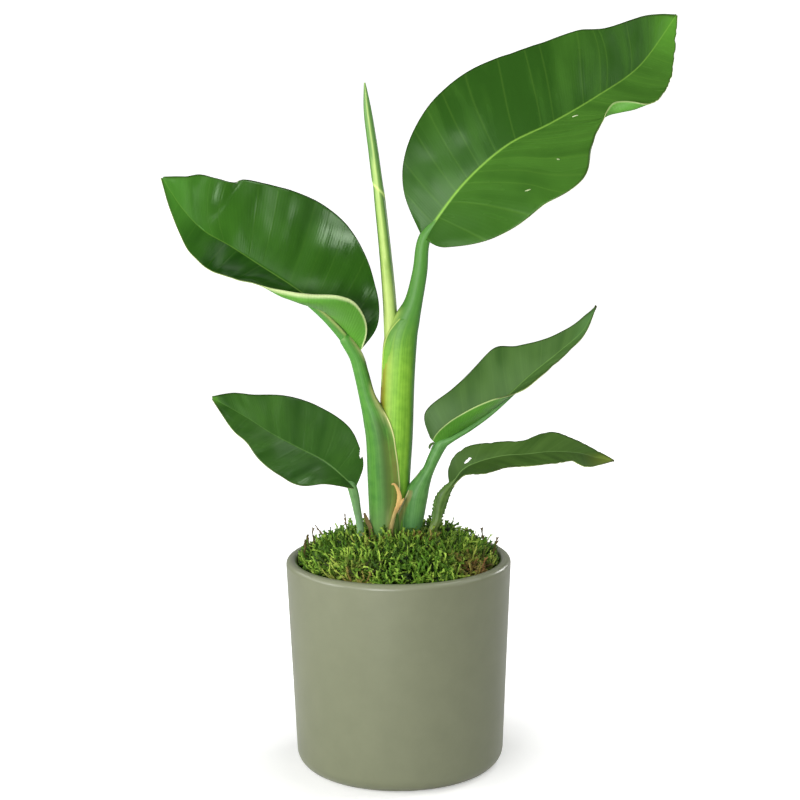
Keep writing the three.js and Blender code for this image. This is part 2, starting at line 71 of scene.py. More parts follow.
def spline(points: Places, share: float) -> list[float]:
    """Reads a uniform Catmull-Rom spline.

    Args:
        points: The values that the spline runs through.
        share: How far along it, from 0 to 1.

    Returns:
        The values there.
    """
    last = len(points) - 1
    place = min(max(share, 0.0), 1.0) * last
    start = min(int(place), last - 1)
    u = place - start
    before, after = points[max(start - 1, 0)], points[min(start + 2, last)]
    values = []
    for p0, p1, p2, p3 in zip(before, points[start], points[start + 1], after):
        v1, v2 = (p2 - p0) / 2, (p3 - p1) / 2
        values.append(((2 * p1 - 2 * p2 + v1 + v2) * u + 3 * (p2 - p1) - 2 * v1 - v2) * u * u + v1 * u + p1)
    return values


def smooth_step(low: float, high: float, value: float) -> float:
    """Rises smoothly from 0 at low to 1 at high."""
    u = min(max((value - low) / (high - low), 0.0), 1.0)
    return u * u * (3 - 2 * u)


def add_node(tree: bpy.types.NodeTree, kind: str, links: dict | None = None, out: int | str = 0,
             **settings: str | bool) -> bpy.types.NodeSocket:
    """Adds a node with its settings and its inputs.

    Args:
        tree: The node tree.
        kind: The node's type, without its prefix.
        links: For each input, by name or number, a value or the output that feeds it.
        out: Which output is wanted, by name or number.
        settings: Values of the node's own properties.

    Returns:
        The output.
    """
    node = tree.nodes.new(f"ShaderNode{kind}")
    for name, value in settings.items():
        setattr(node, name, value)
    for socket, source in (links or {}).items():
        if isinstance(source, bpy.types.NodeSocket):
            tree.links.new(source, node.inputs[socket])
        else:
            node.inputs[socket].default_value = source
    return node.outputs[out]


def start_material(name: str, roughness: float,
                   specular: float = 0.5) -> tuple[bpy.types.Material, bpy.types.Node]:
    """Makes a material with one principled shader.

    Args:
        name: The material's name.
        roughness: The shader's roughness, unless nodes feed it later.
        specular: The shader's specular level.

    Returns:
        The material and its shader.
    """
    material = bpy.data.materials.new(name)
    material.use_nodes = True
    shader = material.node_tree.nodes["Principled BSDF"]
    shader.inputs["Roughness"].default_value = roughness
    shader.inputs["Specular IOR Level"].default_value = specular
    return material, shader


@dataclass(frozen=True)
class WaxyBlade:
    """Upper side of a leaf: a glossy cuticle over dark green, with a pale rib and fine side veins."""

    name: str = "waxy leaf upper side"
    deep: str = "#2b5118"
    fresh: str = "#467427"
    tip: str = "#5a9630"
    rib: str = "#8cbc4c"
    margin: str = "#2a3a14"
    dead_tip: str = "#2e2016"
    rib_width: float = 2.0
    rib_end: float = 0.35
    tip_from: float = 0.86
    dead_from: float = 2.0
    roughness: float = 0.26
    gloss: float = 0.32
    wax_tint: str = "#c6e4bc"
    # How much lighter the right half is painted, and the left half darker.
    painted_side_light: float = 0.0
    # How much darker the foot is painted, as shade.
    painted_foot_shade: float = 0.0
    left_gloss: float = 1.0
    vein_spacing: float = 1.7
    fine_share: float = 0.08
    bold_share: float = 0.07
    bold_depth: float = -1.2
    halves_apart: float = 7.3
    bold_vein_spacing: float = 15.0
    bold_vein_width: float = 0.9
    streak_width: float = 13.0
    streak_length: float = 80.0
    streak_relief: float = 5.0
    fine_relief: float = 0.35

    def material(self) -> bpy.types.Material:
        """Builds it: broad soft highlights broken by the veins, a yellower tip, and painted light and shade."""
        material, shader = start_material(self.name, self.roughness, self.gloss)
        shader.inputs["Specular Tint"].default_value = linear(self.wax_tint)
        tree = material.node_tree
        place = add_node(tree, "TexCoord", out="Object")
        flat = add_node(tree, "UVMap", uv_map="veins")
        parts = add_node(tree, "SeparateXYZ", {0: flat})
        from_rib = parts.node.outputs[1]
        share = add_node(tree, "Attribute", out="Fac", attribute_name="share")
        edge = add_node(tree, "Attribute", out="Fac", attribute_name="edge")
        cloud = add_node(tree, "TexNoise", {"Vector": place, "Scale": 20.0, "Detail": 3.0})
        drawn_out = add_node(tree, "Mapping",
                             {"Vector": flat,
                              "Scale": (1 / (self.streak_width * MM), 1 / (self.streak_length * MM), 1.0)})
        streaks = add_node(tree, "TexNoise",
                           {"Vector": drawn_out, "Scale": 1.0, "Detail": 2.0, "Roughness": 0.5},
                           noise_dimensions="2D")
        mottle = add_node(tree, "Math", {0: cloud, 1: streaks}, operation="ADD")
        spread = add_node(tree, "MapRange", {0: mottle, 1: 0.6, 2: 1.4, 3: 0.0, 4: 1.0})
        side = add_node(tree, "Math", {0: from_rib}, operation="SIGN")
        # Painted light and shade: the right half lighter and the left half darker.
        with_painted_side_light = add_node(tree, "Math", {0: side, 1: self.painted_side_light, 2: spread}, operation="MULTIPLY_ADD",
                          use_clamp=True)
        # Painted shade: darker towards the blade's foot.
        foot_painted_shade = add_node(tree, "MapRange", {0: share, 1: 0.1, 2: 0.45, 3: 1 - self.painted_foot_shade, 4: 1.0})
        lightness = add_node(tree, "Math", {0: with_painted_side_light, 1: foot_painted_shade}, operation="MULTIPLY")
        tissue = add_node(tree, "Mix", {0: lightness, 6: linear(self.deep), 7: linear(self.fresh)}, out=2,
                          data_type="RGBA")
        apart = add_node(tree, "Math", {0: side, 1: self.halves_apart}, operation="MULTIPLY")
        along = add_node(tree, "Math", {0: parts, 1: 1 / (self.bold_vein_spacing * MM), 2: apart},
                         operation="MULTIPLY_ADD")
        bold = add_node(tree, "TexVoronoi", {"W": along, "Scale": 1.0, "Randomness": 0.8}, out="Distance",
                        voronoi_dimensions="1D")
        bold_width = self.bold_vein_width / self.bold_vein_spacing
        on_vein = add_node(tree, "MapRange", {0: bold, 1: 0.0, 2: bold_width, 3: 1.0, 4: 0.0},
                           interpolation_type="SMOOTHSTEP")
        faint = add_node(tree, "Math", {0: on_vein, 1: self.bold_share}, operation="MULTIPLY")
        phase = add_node(tree, "Math", {0: parts, 1: 2 * math.pi / (self.vein_spacing * MM)},
                         operation="MULTIPLY")
        ripple = add_node(tree, "Math", {0: phase}, operation="SINE")
        fine = add_node(tree, "MapRange", {0: ripple, 1: -1.0, 2: 1.0, 3: 0.0, 4: self.fine_share})
        at_tip = add_node(tree, "MapRange", {0: share, 1: self.tip_from, 2: 1.0, 3: 0.0, 4: 0.85},
                          interpolation_type="SMOOTHSTEP")
        width = self.rib_width * MM
        rib_reach = add_node(tree, "MapRange", {0: share, 1: 0.0, 2: 1.0, 3: width, 4: width * 0.3})
        rib_strength = add_node(tree, "MapRange", {0: share, 1: 0.2, 2: 1.0, 3: 0.9, 4: self.rib_end})
        off_rib = add_node(tree, "Math", {0: from_rib}, operation="ABSOLUTE")
        on_rib = add_node(tree, "MapRange", {0: off_rib, 1: 0.0, 2: rib_reach, 3: rib_strength, 4: 0.0},
                          interpolation_type="SMOOTHSTEP")
        at_margin = add_node(tree, "MapRange", {0: edge, 1: 0.2, 2: 1.1, 3: 0.7, 4: 0.0},
                             interpolation_type="SMOOTHSTEP")
        dead = add_node(tree, "MapRange",
                        {0: share, 1: self.dead_from, 2: self.dead_from + 0.03, 3: 0.0, 4: 1.0},
                        interpolation_type="SMOOTHSTEP")
        colour = tissue
        for cover, coat in ((faint, self.rib), (fine, self.deep), (at_tip, self.tip), (on_rib, self.rib),
                            (at_margin, self.margin), (dead, self.dead_tip)):
            colour = add_node(tree, "Mix", {0: cover, 6: colour, 7: linear(coat)}, out=2, data_type="RGBA")
        tree.links.new(colour, shader.inputs["Base Color"])
        sheen = add_node(tree, "MapRange",
                         {0: streaks, 1: 0.3, 2: 0.7, 3: self.roughness - 0.05, 4: self.roughness + 0.05})
        tree.links.new(sheen, shader.inputs["Roughness"])
        if self.left_gloss != 1:
            wax = add_node(tree, "MapRange",
                           {0: side, 1: -1.0, 2: 1.0, 3: self.gloss * self.left_gloss, 4: self.gloss})
            tree.links.new(wax, shader.inputs["Specular IOR Level"])
        calm = add_node(tree, "Math", {0: ripple, 1: self.fine_relief}, operation="MULTIPLY")
        raised = add_node(tree, "Math", {0: on_vein, 1: self.bold_depth, 2: calm}, operation="MULTIPLY_ADD")
        broad = add_node(tree, "Math", {0: streaks, 1: self.streak_relief, 2: raised},
                         operation="MULTIPLY_ADD")
        bump = add_node(tree, "Bump", {"Strength": 0.2, "Distance": 0.12 * MM, "Height": broad})
        tree.links.new(bump, shader.inputs["Normal"])
        return material


@dataclass(frozen=True)
class BladeUnderside:
    """Underside of a leaf: paler and duller, with raised side veins."""

    name: str = "leaf underside"
    deep: str = "#3f7a22"
    fresh: str = "#62a035"
    margin: str = "#c9d69a"
    margin_share: float = 0.45
    margin_width: float = 1.2
    roughness: float = 0.5
    vein_spacing: float = 1.7

    def material(self) -> bpy.types.Material:
        """Builds it: an even bright green with soft lines and a cream margin."""
        material, shader = start_material(self.name, self.roughness, 0.35)
        tree = material.node_tree
        place = add_node(tree, "TexCoord", out="Object")
        flat = add_node(tree, "UVMap", uv_map="veins")
        parts = add_node(tree, "SeparateXYZ", {0: flat})
        edge = add_node(tree, "Attribute", out="Fac", attribute_name="edge")
        cloud = add_node(tree, "TexNoise", {"Vector": place, "Scale": 35.0, "Detail": 3.0})
        tissue = add_node(tree, "Mix", {0: cloud, 6: linear(self.deep), 7: linear(self.fresh)}, out=2,
                          data_type="RGBA")
        phase = add_node(tree, "Math", {0: parts, 1: 2 * math.pi / (self.vein_spacing * MM)},
                         operation="MULTIPLY")
        ripple = add_node(tree, "Math", {0: phase}, operation="SINE")
        fine = add_node(tree, "MapRange", {0: ripple, 1: -1.0, 2: 1.0, 3: 0.0, 4: 0.2})
        lined = add_node(tree, "Mix", {0: fine, 6: tissue, 7: linear(self.fresh)}, out=2, data_type="RGBA")
        at_margin = add_node(tree, "MapRange",
                             {0: edge, 1: 0.25 * self.margin_width, 2: self.margin_width,
                              3: self.margin_share, 4: 0.0}, interpolation_type="SMOOTHSTEP")
        edged = add_node(tree, "Mix", {0: at_margin, 6: lined, 7: linear(self.margin)}, out=2,
                         data_type="RGBA")
        tree.links.new(edged, shader.inputs["Base Color"])
        bump = add_node(tree, "Bump", {"Strength": 0.4, "Distance": 0.12 * MM, "Height": ripple})
        tree.links.new(bump, shader.inputs["Normal"])
        return material


@dataclass(frozen=True)
class BladeMargin:
    """The cut edge of a leaf blade: a thin firm rim, pale where the tissue ends."""

    name: str = "leaf margin"
    pale: str = "#a9bd72"
    brown: str = "#55602c"
    roughness: float = 0.5

    def material(self) -> bpy.types.Material:
        """Builds it: cream green that turns brownish in patches."""
        material, shader = start_material(self.name, self.roughness)
        tree = material.node_tree
        place = add_node(tree, "TexCoord", out="Object")
        patches = add_node(tree, "TexNoise", {"Vector": place, "Scale": 60.0, "Detail": 2.0})
        steep = add_node(tree, "MapRange", {0: patches, 1: 0.4, 2: 0.6, 3: 0.0, 4: 1.0})
        colour = add_node(tree, "Mix", {0: steep, 6: linear(self.pale), 7: linear(self.brown)}, out=2,
                          data_type="RGBA")
        tree.links.new(colour, shader.inputs["Base Color"])
        return material


@dataclass(frozen=True)
class StalkSkin:
    """Skin of a stalk or sheath: smooth, waxy and finely striped along its length."""

    name: str
    deep: str
    fresh: str
    # Colour of the painted shade, and of a darker olive band.
    dark_band_and_painted_shade: str = "#2c5f1c"
    upper: str = "#3f8030"
    upper_from: float = 290.0
    upper_to: float = 340.0
    pale: str = "#c4dc84"
    dry: str = "#a58249"
    foot: str = "#55784c"
    foot_from: float = 205.0
    foot_to: float = 174.0
    foot_share: float = 0.7
    stripe: float = 1.2
    stripe_length: float = 90.0
    mottle: float = 0.7
    roughness: float = 0.42

    def material(self) -> bpy.types.Material:
        """Builds it: fresh green with fine stripes, bluish at the foot, tan where dry, with painted shade and an olive
        band.
        """
        material, shader = start_material(self.name, self.roughness, 0.28)
        tree = material.node_tree
        place = add_node(tree, "TexCoord", out="Object")
        height = add_node(tree, "SeparateXYZ", {0: place}, out=2)
        round_and_along = add_node(tree, "UVMap", uv_map="grain")
        drawn_out = add_node(tree, "Mapping",
                             {"Vector": round_and_along,
                              "Scale": (1 / (self.stripe * MM), 1 / (self.stripe_length * MM), 1.0)})
        stripes = add_node(tree, "TexNoise",
                           {"Vector": drawn_out, "Scale": 0.7, "Detail": 3.0, "Roughness": 0.55},
                           noise_dimensions="2D")
        blotches = add_node(tree, "TexNoise", {"Vector": place, "Scale": 160.0, "Detail": 3.0})
        mottled = add_node(tree, "Math", {0: blotches, 1: self.mottle, 2: stripes},
                           operation="MULTIPLY_ADD")
        contrast = add_node(tree, "MapRange",
                            {0: mottled, 1: 0.27 + self.mottle / 2, 2: 0.73 + self.mottle / 2, 3: -0.2,
                             4: 1.2})
        sheath = add_node(tree, "Mix", {0: contrast, 6: linear(self.deep), 7: linear(self.fresh)}, out=2,
                          data_type="RGBA")
        risen = add_node(tree, "MapRange",
                         {0: height, 1: self.upper_from * MM, 2: self.upper_to * MM, 3: 0.0, 4: 0.85},
                         interpolation_type="SMOOTHSTEP")
        # Painted shade from the streaks, and on one stalk a darker olive band.
        shade = add_node(tree, "Attribute", out="Fac", attribute_name="shade")
        at_foot = add_node(tree, "MapRange",
                           {0: height, 1: self.foot_to * MM, 2: self.foot_from * MM, 3: self.foot_share,
                            4: 0.0}, interpolation_type="SMOOTHSTEP")
        pale = add_node(tree, "Attribute", out="Fac", attribute_name="pale")
        dry = add_node(tree, "Attribute", out="Fac", attribute_name="dry")
        speckle = add_node(tree, "MapRange", {0: stripes, 1: 0.2, 2: 0.8, 3: 0.55, 4: 1.3})
        dried = add_node(tree, "Math", {0: dry, 1: speckle}, operation="MULTIPLY", use_clamp=True)
        colour = sheath
        for cover, coat in ((risen, self.upper), (shade, self.dark_band_and_painted_shade), (at_foot, self.foot),
                            (pale, self.pale), (dried, self.dry)):
            colour = add_node(tree, "Mix", {0: cover, 6: colour, 7: linear(coat)}, out=2, data_type="RGBA")
        tree.links.new(colour, shader.inputs["Base Color"])
        bump = add_node(tree, "Bump", {"Strength": 0.3, "Distance": 0.15 * MM, "Height": stripes})
        tree.links.new(bump, shader.inputs["Normal"])
        return material


@dataclass(frozen=True)
class DryPaper:
    """Old leaf sheath that has dried: thin, matte, tan to orange brown, fibrous along its length."""

    name: str = "dried leaf sheath"
    light: str = "#dcc07e"
    mid: str = "#b98d4a"
    dark: str = "#94511f"
    damp: str = "#8f8656"
    damp_below: float = 200.0
    fibre: float = 0.8
    roughness: float = 0.82

    def material(self) -> bpy.types.Material:
        """Builds it: pale fibres over orange brown."""
        material, shader = start_material(self.name, self.roughness, 0.2)
        tree = material.node_tree
        grain = add_node(tree, "UVMap", uv_map="grain")
        stretched = add_node(tree, "Mapping",
                             {"Vector": grain, "Scale": (1 / (self.fibre * MM), 60.0, 1.0)})
        fibres = add_node(tree, "TexNoise", {"Vector": stretched, "Scale": 1.0, "Detail": 4.0},
                          noise_dimensions="2D")
        place = add_node(tree, "TexCoord", out="Object")
        stains = add_node(tree, "TexNoise", {"Vector": place, "Scale": 140.0, "Detail": 3.0})
        base = add_node(tree, "Mix", {0: fibres, 6: linear(self.mid), 7: linear(self.light)}, out=2,
                        data_type="RGBA")
        stained = add_node(tree, "MapRange", {0: stains, 1: 0.5, 2: 0.75, 3: 0.0, 4: 0.8})
        dried = add_node(tree, "Mix", {0: stained, 6: base, 7: linear(self.dark)}, out=2, data_type="RGBA")
        height = add_node(tree, "SeparateXYZ", {0: place}, out=2)
        low = add_node(tree, "MapRange",
                       {0: height, 1: (self.damp_below - 14) * MM, 2: self.damp_below * MM, 3: 0.75,
                        4: 0.0}, interpolation_type="SMOOTHSTEP")
        colour = add_node(tree, "Mix", {0: low, 6: dried, 7: linear(self.damp)}, out=2, data_type="RGBA")
        tree.links.new(colour, shader.inputs["Base Color"])
        bump = add_node(tree, "Bump", {"Strength": 0.6, "Distance": 0.2 * MM, "Height": fibres})
        tree.links.new(bump, shader.inputs["Normal"])
        return material


@dataclass(frozen=True)
class LivingMoss:
    """Moss shoots: matte, darker low down, partly painted shade, to yellow green at the tips, some dead."""

    name: str = "living moss"
    deep: str = "#152806"
    mid: str = "#527d15"
    bright: str = "#a4c24a"
    dead: str = "#8d6a3c"
    roughness: float = 0.7

    def material(self) -> bpy.types.Material:
        """Builds it from each shoot's tone, darkened low down by painted shade, and how dead it is."""
        material, shader = start_material(self.name, self.roughness, 0.3)
        tree = material.node_tree
        shade = add_node(tree, "Attribute", out="Fac", attribute_name="shade")
        dead = add_node(tree, "Attribute", out="Fac", attribute_name="dead")
        low = add_node(tree, "MapRange", {0: shade, 1: 0.0, 2: 0.5, 3: 0.0, 4: 1.0})
        high = add_node(tree, "MapRange", {0: shade, 1: 0.5, 2: 1.0, 3: 0.0, 4: 1.0})
        lower = add_node(tree, "Mix", {0: low, 6: linear(self.deep), 7: linear(self.mid)}, out=2,
                         data_type="RGBA")
        upper = add_node(tree, "Mix", {0: high, 6: lower, 7: linear(self.bright)}, out=2, data_type="RGBA")
        colour = add_node(tree, "Mix", {0: dead, 6: upper, 7: linear(self.dead)}, out=2, data_type="RGBA")
        tree.links.new(colour, shader.inputs["Base Color"])
        return material


@dataclass(frozen=True)
class MossBed:
    """The dark mesh of old shoots under the living ones, near black, partly painted shade of the gaps."""

    name: str = "old moss"
    dark: str = "#141d08"
    light: str = "#2f4213"
    grain: float = 1.5

    def material(self) -> bpy.types.Material:
        """Builds it: near black green with brownish flecks."""
        material, shader = start_material(self.name, 0.95, 0.1)
        tree = material.node_tree
        place = add_node(tree, "TexCoord", out="Object")
        flecks = add_node(tree, "TexNoise",
                          {"Vector": place, "Scale": 1 / (self.grain * MM), "Detail": 3.0})
        colour = add_node(tree, "Mix", {0: flecks, 6: linear(self.dark), 7: linear(self.light)}, out=2,
                          data_type="RGBA")
        tree.links.new(colour, shader.inputs["Base Color"])
        bump = add_node(tree, "Bump", {"Strength": 1.0, "Distance": 1.0 * MM, "Height": flecks})
        tree.links.new(bump, shader.inputs["Normal"])
        return material


@dataclass(frozen=True)
class PottingSoil:
    """Peaty potting soil: dark, crumbly, with lighter grains."""

    name: str = "potting soil"
    dark: str = "#1c130c"
    light: str = "#4b3626"
    crumb: float = 2.5

    def material(self) -> bpy.types.Material:
        """Builds it: crumbs of a few millimetres, fully matte."""
        material, shader = start_material(self.name, 0.95, 0.15)
        tree = material.node_tree
        place = add_node(tree, "TexCoord", out="Object")
        crumbs = add_node(tree, "TexVoronoi",
                          {"Vector": place, "Scale": 1 / (self.crumb * MM), "Randomness": 1.0})
        colour = add_node(tree, "Mix", {0: crumbs, 6: linear(self.light), 7: linear(self.dark)}, out=2,
                          data_type="RGBA")
        tree.links.new(colour, shader.inputs["Base Color"])
        bump = add_node(tree, "Bump", {"Strength": 1.0, "Distance": 1.2 * MM, "Height": crumbs},
                        invert=True)
        tree.links.new(bump, shader.inputs["Normal"])
        return material


@dataclass(frozen=True)
class MatteGlaze:
    """Sage green stoneware, spray glazed: satin matte with a faint mottle and fine tooth."""

    name: str = "matte sage glaze on stoneware"
    deep: str = "#6a6e55"
    light: str = "#75795f"
    # Colour of the painted light on the rim.
    rim: str = "#8b8f75"
    tooth: float = 0.6
    mottle: float = 16.0
    roughness: float = 0.32

    def material(self) -> bpy.types.Material:
        """Builds it: grey green, with painted light making the rim a little lighter."""
        material, shader = start_material(self.name, self.roughness, 0.5)
        tree = material.node_tree
        place = add_node(tree, "TexCoord", out="Object")
        height = add_node(tree, "SeparateXYZ", {0: place}, out=2)
        cloud = add_node(tree, "TexNoise",
                         {"Vector": place, "Scale": 1 / (self.mottle * MM), "Detail": 4.0,
                          "Roughness": 0.6})
        base = add_node(tree, "Mix", {0: cloud, 6: linear(self.deep), 7: linear(self.light)}, out=2,
                        data_type="RGBA")
        # Painted light: the top 4 mm, by the rim, is lighter, as if lit from above.
        painted_rim_light = add_node(tree, "MapRange",
                          {0: height, 1: (Pot.height - 4) * MM, 2: Pot.height * MM, 3: 0.0, 4: 0.8},
                          interpolation_type="SMOOTHSTEP")
        colour = add_node(tree, "Mix", {0: painted_rim_light, 6: base, 7: linear(self.rim)}, out=2, data_type="RGBA")
        tree.links.new(colour, shader.inputs["Base Color"])
        tooth = add_node(tree, "TexNoise", {"Vector": place, "Scale": 1 / (self.tooth * MM), "Detail": 2.0})
        bump = add_node(tree, "Bump", {"Strength": 0.12, "Distance": 0.1 * MM, "Height": tooth})
        tree.links.new(bump, shader.inputs["Normal"])
        return material


def to_mesh(name: str, bm: bmesh.types.BMesh) -> bpy.types.Mesh:
    """Turns a bmesh into a mesh and frees it.

    Args:
        name: The mesh's name.
        bm: The bmesh.

    Returns:
        The mesh.
    """
    mesh = bpy.data.meshes.new(name)
    bm.to_mesh(mesh)
    bm.free()
    return mesh


def put_in_scene(name: str, data: bpy.types.ID) -> bpy.types.Object:
    """Makes an object of a mesh, lamp or camera and links it to the scene.

    Args:
        name: The object's name.
        data: What it shows.

    Returns:
        The object.
    """
    thing = bpy.data.objects.new(name, data)
    bpy.context.scene.collection.objects.link(thing)
    return thing


def finish_piece(name: str, bm: bmesh.types.BMesh, materials: list[bpy.types.Material], node: str) -> bpy.types.Object:
    """Turns a bmesh into a smooth piece that rides on the part and stands for a CAD node.

    Args:
        name: The piece's name.
        bm: Its mesh, in metres, which is freed.
        materials: The materials of its faces.
        node: The CAD node that it stands for.

    Returns:
        The piece.
    """
    for face in bm.faces:
        face.smooth = True
    mesh = to_mesh(name, bm)
    for material in materials:
        mesh.materials.append(material)
    piece = put_in_scene(name, mesh)
    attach(piece, "root")
    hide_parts(node)
    log.info("%s: %d faces, for %s", name, len(mesh.polygons), node)
    return piece


def add_wall(piece: bpy.types.Object, thickness: float, offset: float = 0.0) -> bpy.types.Modifier:
    """Gives a sheet its thickness.

    Args:
        piece: The sheet.
        thickness: Its thickness in millimetres.
        offset: -1 for a wall behind the sheet, 0 for one on both its sides.

    Returns:
        The modifier.
    """
    wall = piece.modifiers.new("thickness", "SOLIDIFY")
    wall.thickness = thickness * MM
    wall.offset = offset
    return wall


def grain_grid(columns: int, rows: int, across: float, along: float, start: float) -> bmesh.types.BMesh:
    """Makes a grid from -1 to 1 both ways, with a UV map named grain at real size.

    Args:
        columns: Faces across.
        rows: Faces along.
        across: Millimetres for each unit across.
        along: Millimetres for each unit along.
        start: What is added to a place before it is scaled.

    Returns:
        The grid.
    """
    bm = bmesh.new()
    bmesh.ops.create_grid(bm, x_segments=columns, y_segments=rows, size=1)
    grain = bm.loops.layers.uv.new("grain")
    for face in bm.faces:
        for loop in face.loops:
            loop[grain].uv = ((loop.vert.co.x + start) * across * MM, (loop.vert.co.y + start) * along * MM)
    return bm


def spin_profile(profile: list[tuple[float, float]], steps: int) -> bmesh.types.BMesh:
    """Spins a profile round the pot's axis into a closed solid.

    Args:
        profile: Radius and height of its corners, in millimetres.
        steps: Faces round the axis.

    Returns:
        The solid, in metres.
    """
    bm = bmesh.new()
    verts = [bm.verts.new((x * MM, 0, z * MM)) for x, z in profile]
    edges = [bm.edges.new(pair) for pair in zip(verts, verts[1:])]
    bmesh.ops.spin(bm, geom=verts + edges, cent=(0, 0, 0), axis=(0, 0, 1), angle=2 * math.pi, steps=steps,
                   use_merge=True)
    bmesh.ops.remove_doubles(bm, verts=bm.verts, dist=1e-6)
    bmesh.ops.recalc_face_normals(bm, faces=bm.faces)
    return bm


def paste(bm: bmesh.types.BMesh, mesh: bpy.types.Mesh) -> list[bmesh.types.BMVert]:
    """Adds a mesh to a bmesh.

    Args:
        bm: The bmesh.
        mesh: The mesh that it gets.

    Returns:
        The vertices that it got.
    """
    before = len(bm.verts)
    bm.from_mesh(mesh)
    bm.verts.ensure_lookup_table()
    return bm.verts[before:]


class Side(Enum):
    """The two halves of a blade, as seen with its upper side towards the eye and its tip up."""

    LEFT = -1
    RIGHT = 1


class Tint(Enum):
    """What a streak does to the skin of a stalk."""

    PALE = "pale"
    DRY = "dry"
    # Painted shade down the sides of stalks, and on one stalk a darker olive band.
    DARK_BAND_AND_PAINTED_SHADE = "shade"


@dataclass(frozen=True)
class Streak:
    """A lengthwise streak on a stalk: round it at turn, from 0 at its right by 0.5 at its left."""

    tint: Tint
    turn: float
    spread: float
    low: float
    high: float
    amount: float = 1.0
    fade: float = 12.0

    def strength(self, turn: float, height: float) -> float:
        """How strong the streak is at a place.

        Args:
            turn: Where round the stalk, from 0 to 1.
            height: Height above the pot's base.

        Returns:
            A share from 0 to 1.
        """
        off = abs((turn - self.turn + 0.5) % 1 - 0.5) / self.spread
        within = smooth_step(self.low - self.fade, self.low, height)
        within *= 1 - smooth_step(self.high, self.high + self.fade, height)
        return self.amount * within * math.exp(-off * off)


@dataclass
class Tube:
    """A closed tube through stations of x, y, z, half width and half depth."""

    stations: Places
    sides: int = 28
    steps: int = 90
    backs: Places = ((0, 1, 0), (0, 1, 0))
    streaks: tuple[Streak, ...] = ()

    def section(self, share: float) -> tuple[Vector, Vector, Vector]:
        """The section's frame at a share of the way.

        Args:
            share: From 0 at the foot to 1 at the end.

        Returns:
            Its centre, the unit vector of its width and that of its depth.
        """
        ahead, behind = spline(self.stations, share + 0.01), spline(self.stations, share - 0.01)
        along = (Vector(ahead[:3]) - Vector(behind[:3])).normalized()
        back = Vector(spline(self.backs, share))
        depth = (back - along * back.dot(along)).normalized()
        return Vector(spline(self.stations, share)[:3]), depth.cross(along), depth

    def size(self, share: float, turn: float) -> float:
        """The section's size there against a plain oval's."""
        return 1.0

    def front(self, x: float, height: float) -> float | None:
        """How far to the front the tube's skin is.

        Args:
            x: A place across.
            height: Its height.

        Returns:
            The skin's y there, falling away beside the tube, or None far from it.
        """
        low, high = 0.0, 1.0
        for _ in range(18):
            middle = (low + high) / 2
            if spline(self.stations, middle)[2] < height:
                low = middle
            else:
                high = middle
        centre_x, centre_y, _, half_width, half_depth = spline(self.stations, low)
        off = abs(x - centre_x) / half_width
        if off > 2:
            return None
        beyond = max(off - 0.9, 0.0) * half_width
        return centre_y - half_depth * math.sqrt(1 - min(off, 0.9) ** 2) + 1.5 * beyond

    def mesh(self) -> bmesh.types.BMesh:
        """Wraps a grid round the stations, closes its seam and ends, and paints the streaks."""
        girth = 2 * math.pi * max(station[3] for station in self.stations)
        length = sum(math.dist(a[:3], b[:3]) for a, b in zip(self.stations, self.stations[1:]))
        bm = grain_grid(self.sides, self.steps, girth / 2, length / 2, 1.0)
        layers = {tint: bm.verts.layers.float.new(tint.value) for tint in Tint}
        frames = {}
        for vert in bm.verts:
            turn, share = (vert.co.x + 1) / 2, (vert.co.y + 1) / 2
            if share not in frames:
                frames[share] = self.section(share), spline(self.stations, share)[3:]
            (centre, width, depth), (half_width, half_depth) = frames[share]
            size = self.size(share, turn)
            angle = 2 * math.pi * turn
            sideways = width * half_width * size * math.cos(angle)
            vert.co = centre + sideways + depth * half_depth * size * math.sin(angle)
            for tint, layer in layers.items():
                strengths = [s.strength(turn, vert.co.z) for s in self.streaks if s.tint is tint]
                vert[layer] = min(sum(strengths), 1.0)
        bmesh.ops.scale(bm, vec=(MM, MM, MM), verts=bm.verts)
        bmesh.ops.remove_doubles(bm, verts=bm.verts, dist=1e-7)
        bmesh.ops.holes_fill(bm, edges=[edge for edge in bm.edges if edge.is_boundary], sides=0)
        bmesh.ops.recalc_face_normals(bm, faces=bm.faces)
        return bm


@dataclass
class RolledSpike(Tube):
    """The next leaf, still rolled: its seam overlaps and winds half round it near the top."""

    seam_turns: Places = ((1,), (1,), (1,), (1,), (1,), (1,), (0.98,), (0.55,), (0.5,), (0.5,), (0.5,))
    overlap: float = 0.14

    def size(self, share: float, turn: float) -> float:
        """Each turn of the roll lies inside the last, which leaves a step at the seam."""
        past = (turn - spline(self.seam_turns, share)[0]) % 1
        return 1 - self.overlap * past


@dataclass(frozen=True)
class Roll:
    """A strip along a blade's margin that turns up where it lies."""

    centre: float
    spread: float
    strip: float
    degrees: float


@dataclass(frozen=True)
class Half:
    """Half of a blade: its margin, along and out from the rib, and how it lifts along the rib."""

    margin: Places
    lift: Places
    roll: Roll | None = None
    ragged: tuple[float, float, float] = (0.0, 0.0, 0.0)


@dataclass(frozen=True)
class Tear:
    """A hole or a bite in a blade: an oval at a place along the rib and out from it."""

    side: Side
    along: float
    out: float
    length: float
    width: float
    degrees: float

    @property
    def way(self) -> Vector:
        """The way that its length lies in, along the rib and out from it."""
        return Vector((math.cos(math.radians(self.degrees)), math.sin(math.radians(self.degrees))))


SCAR = BladeMargin(name="scar tissue", pale="#d5dfb8", brown="#b3c48f")


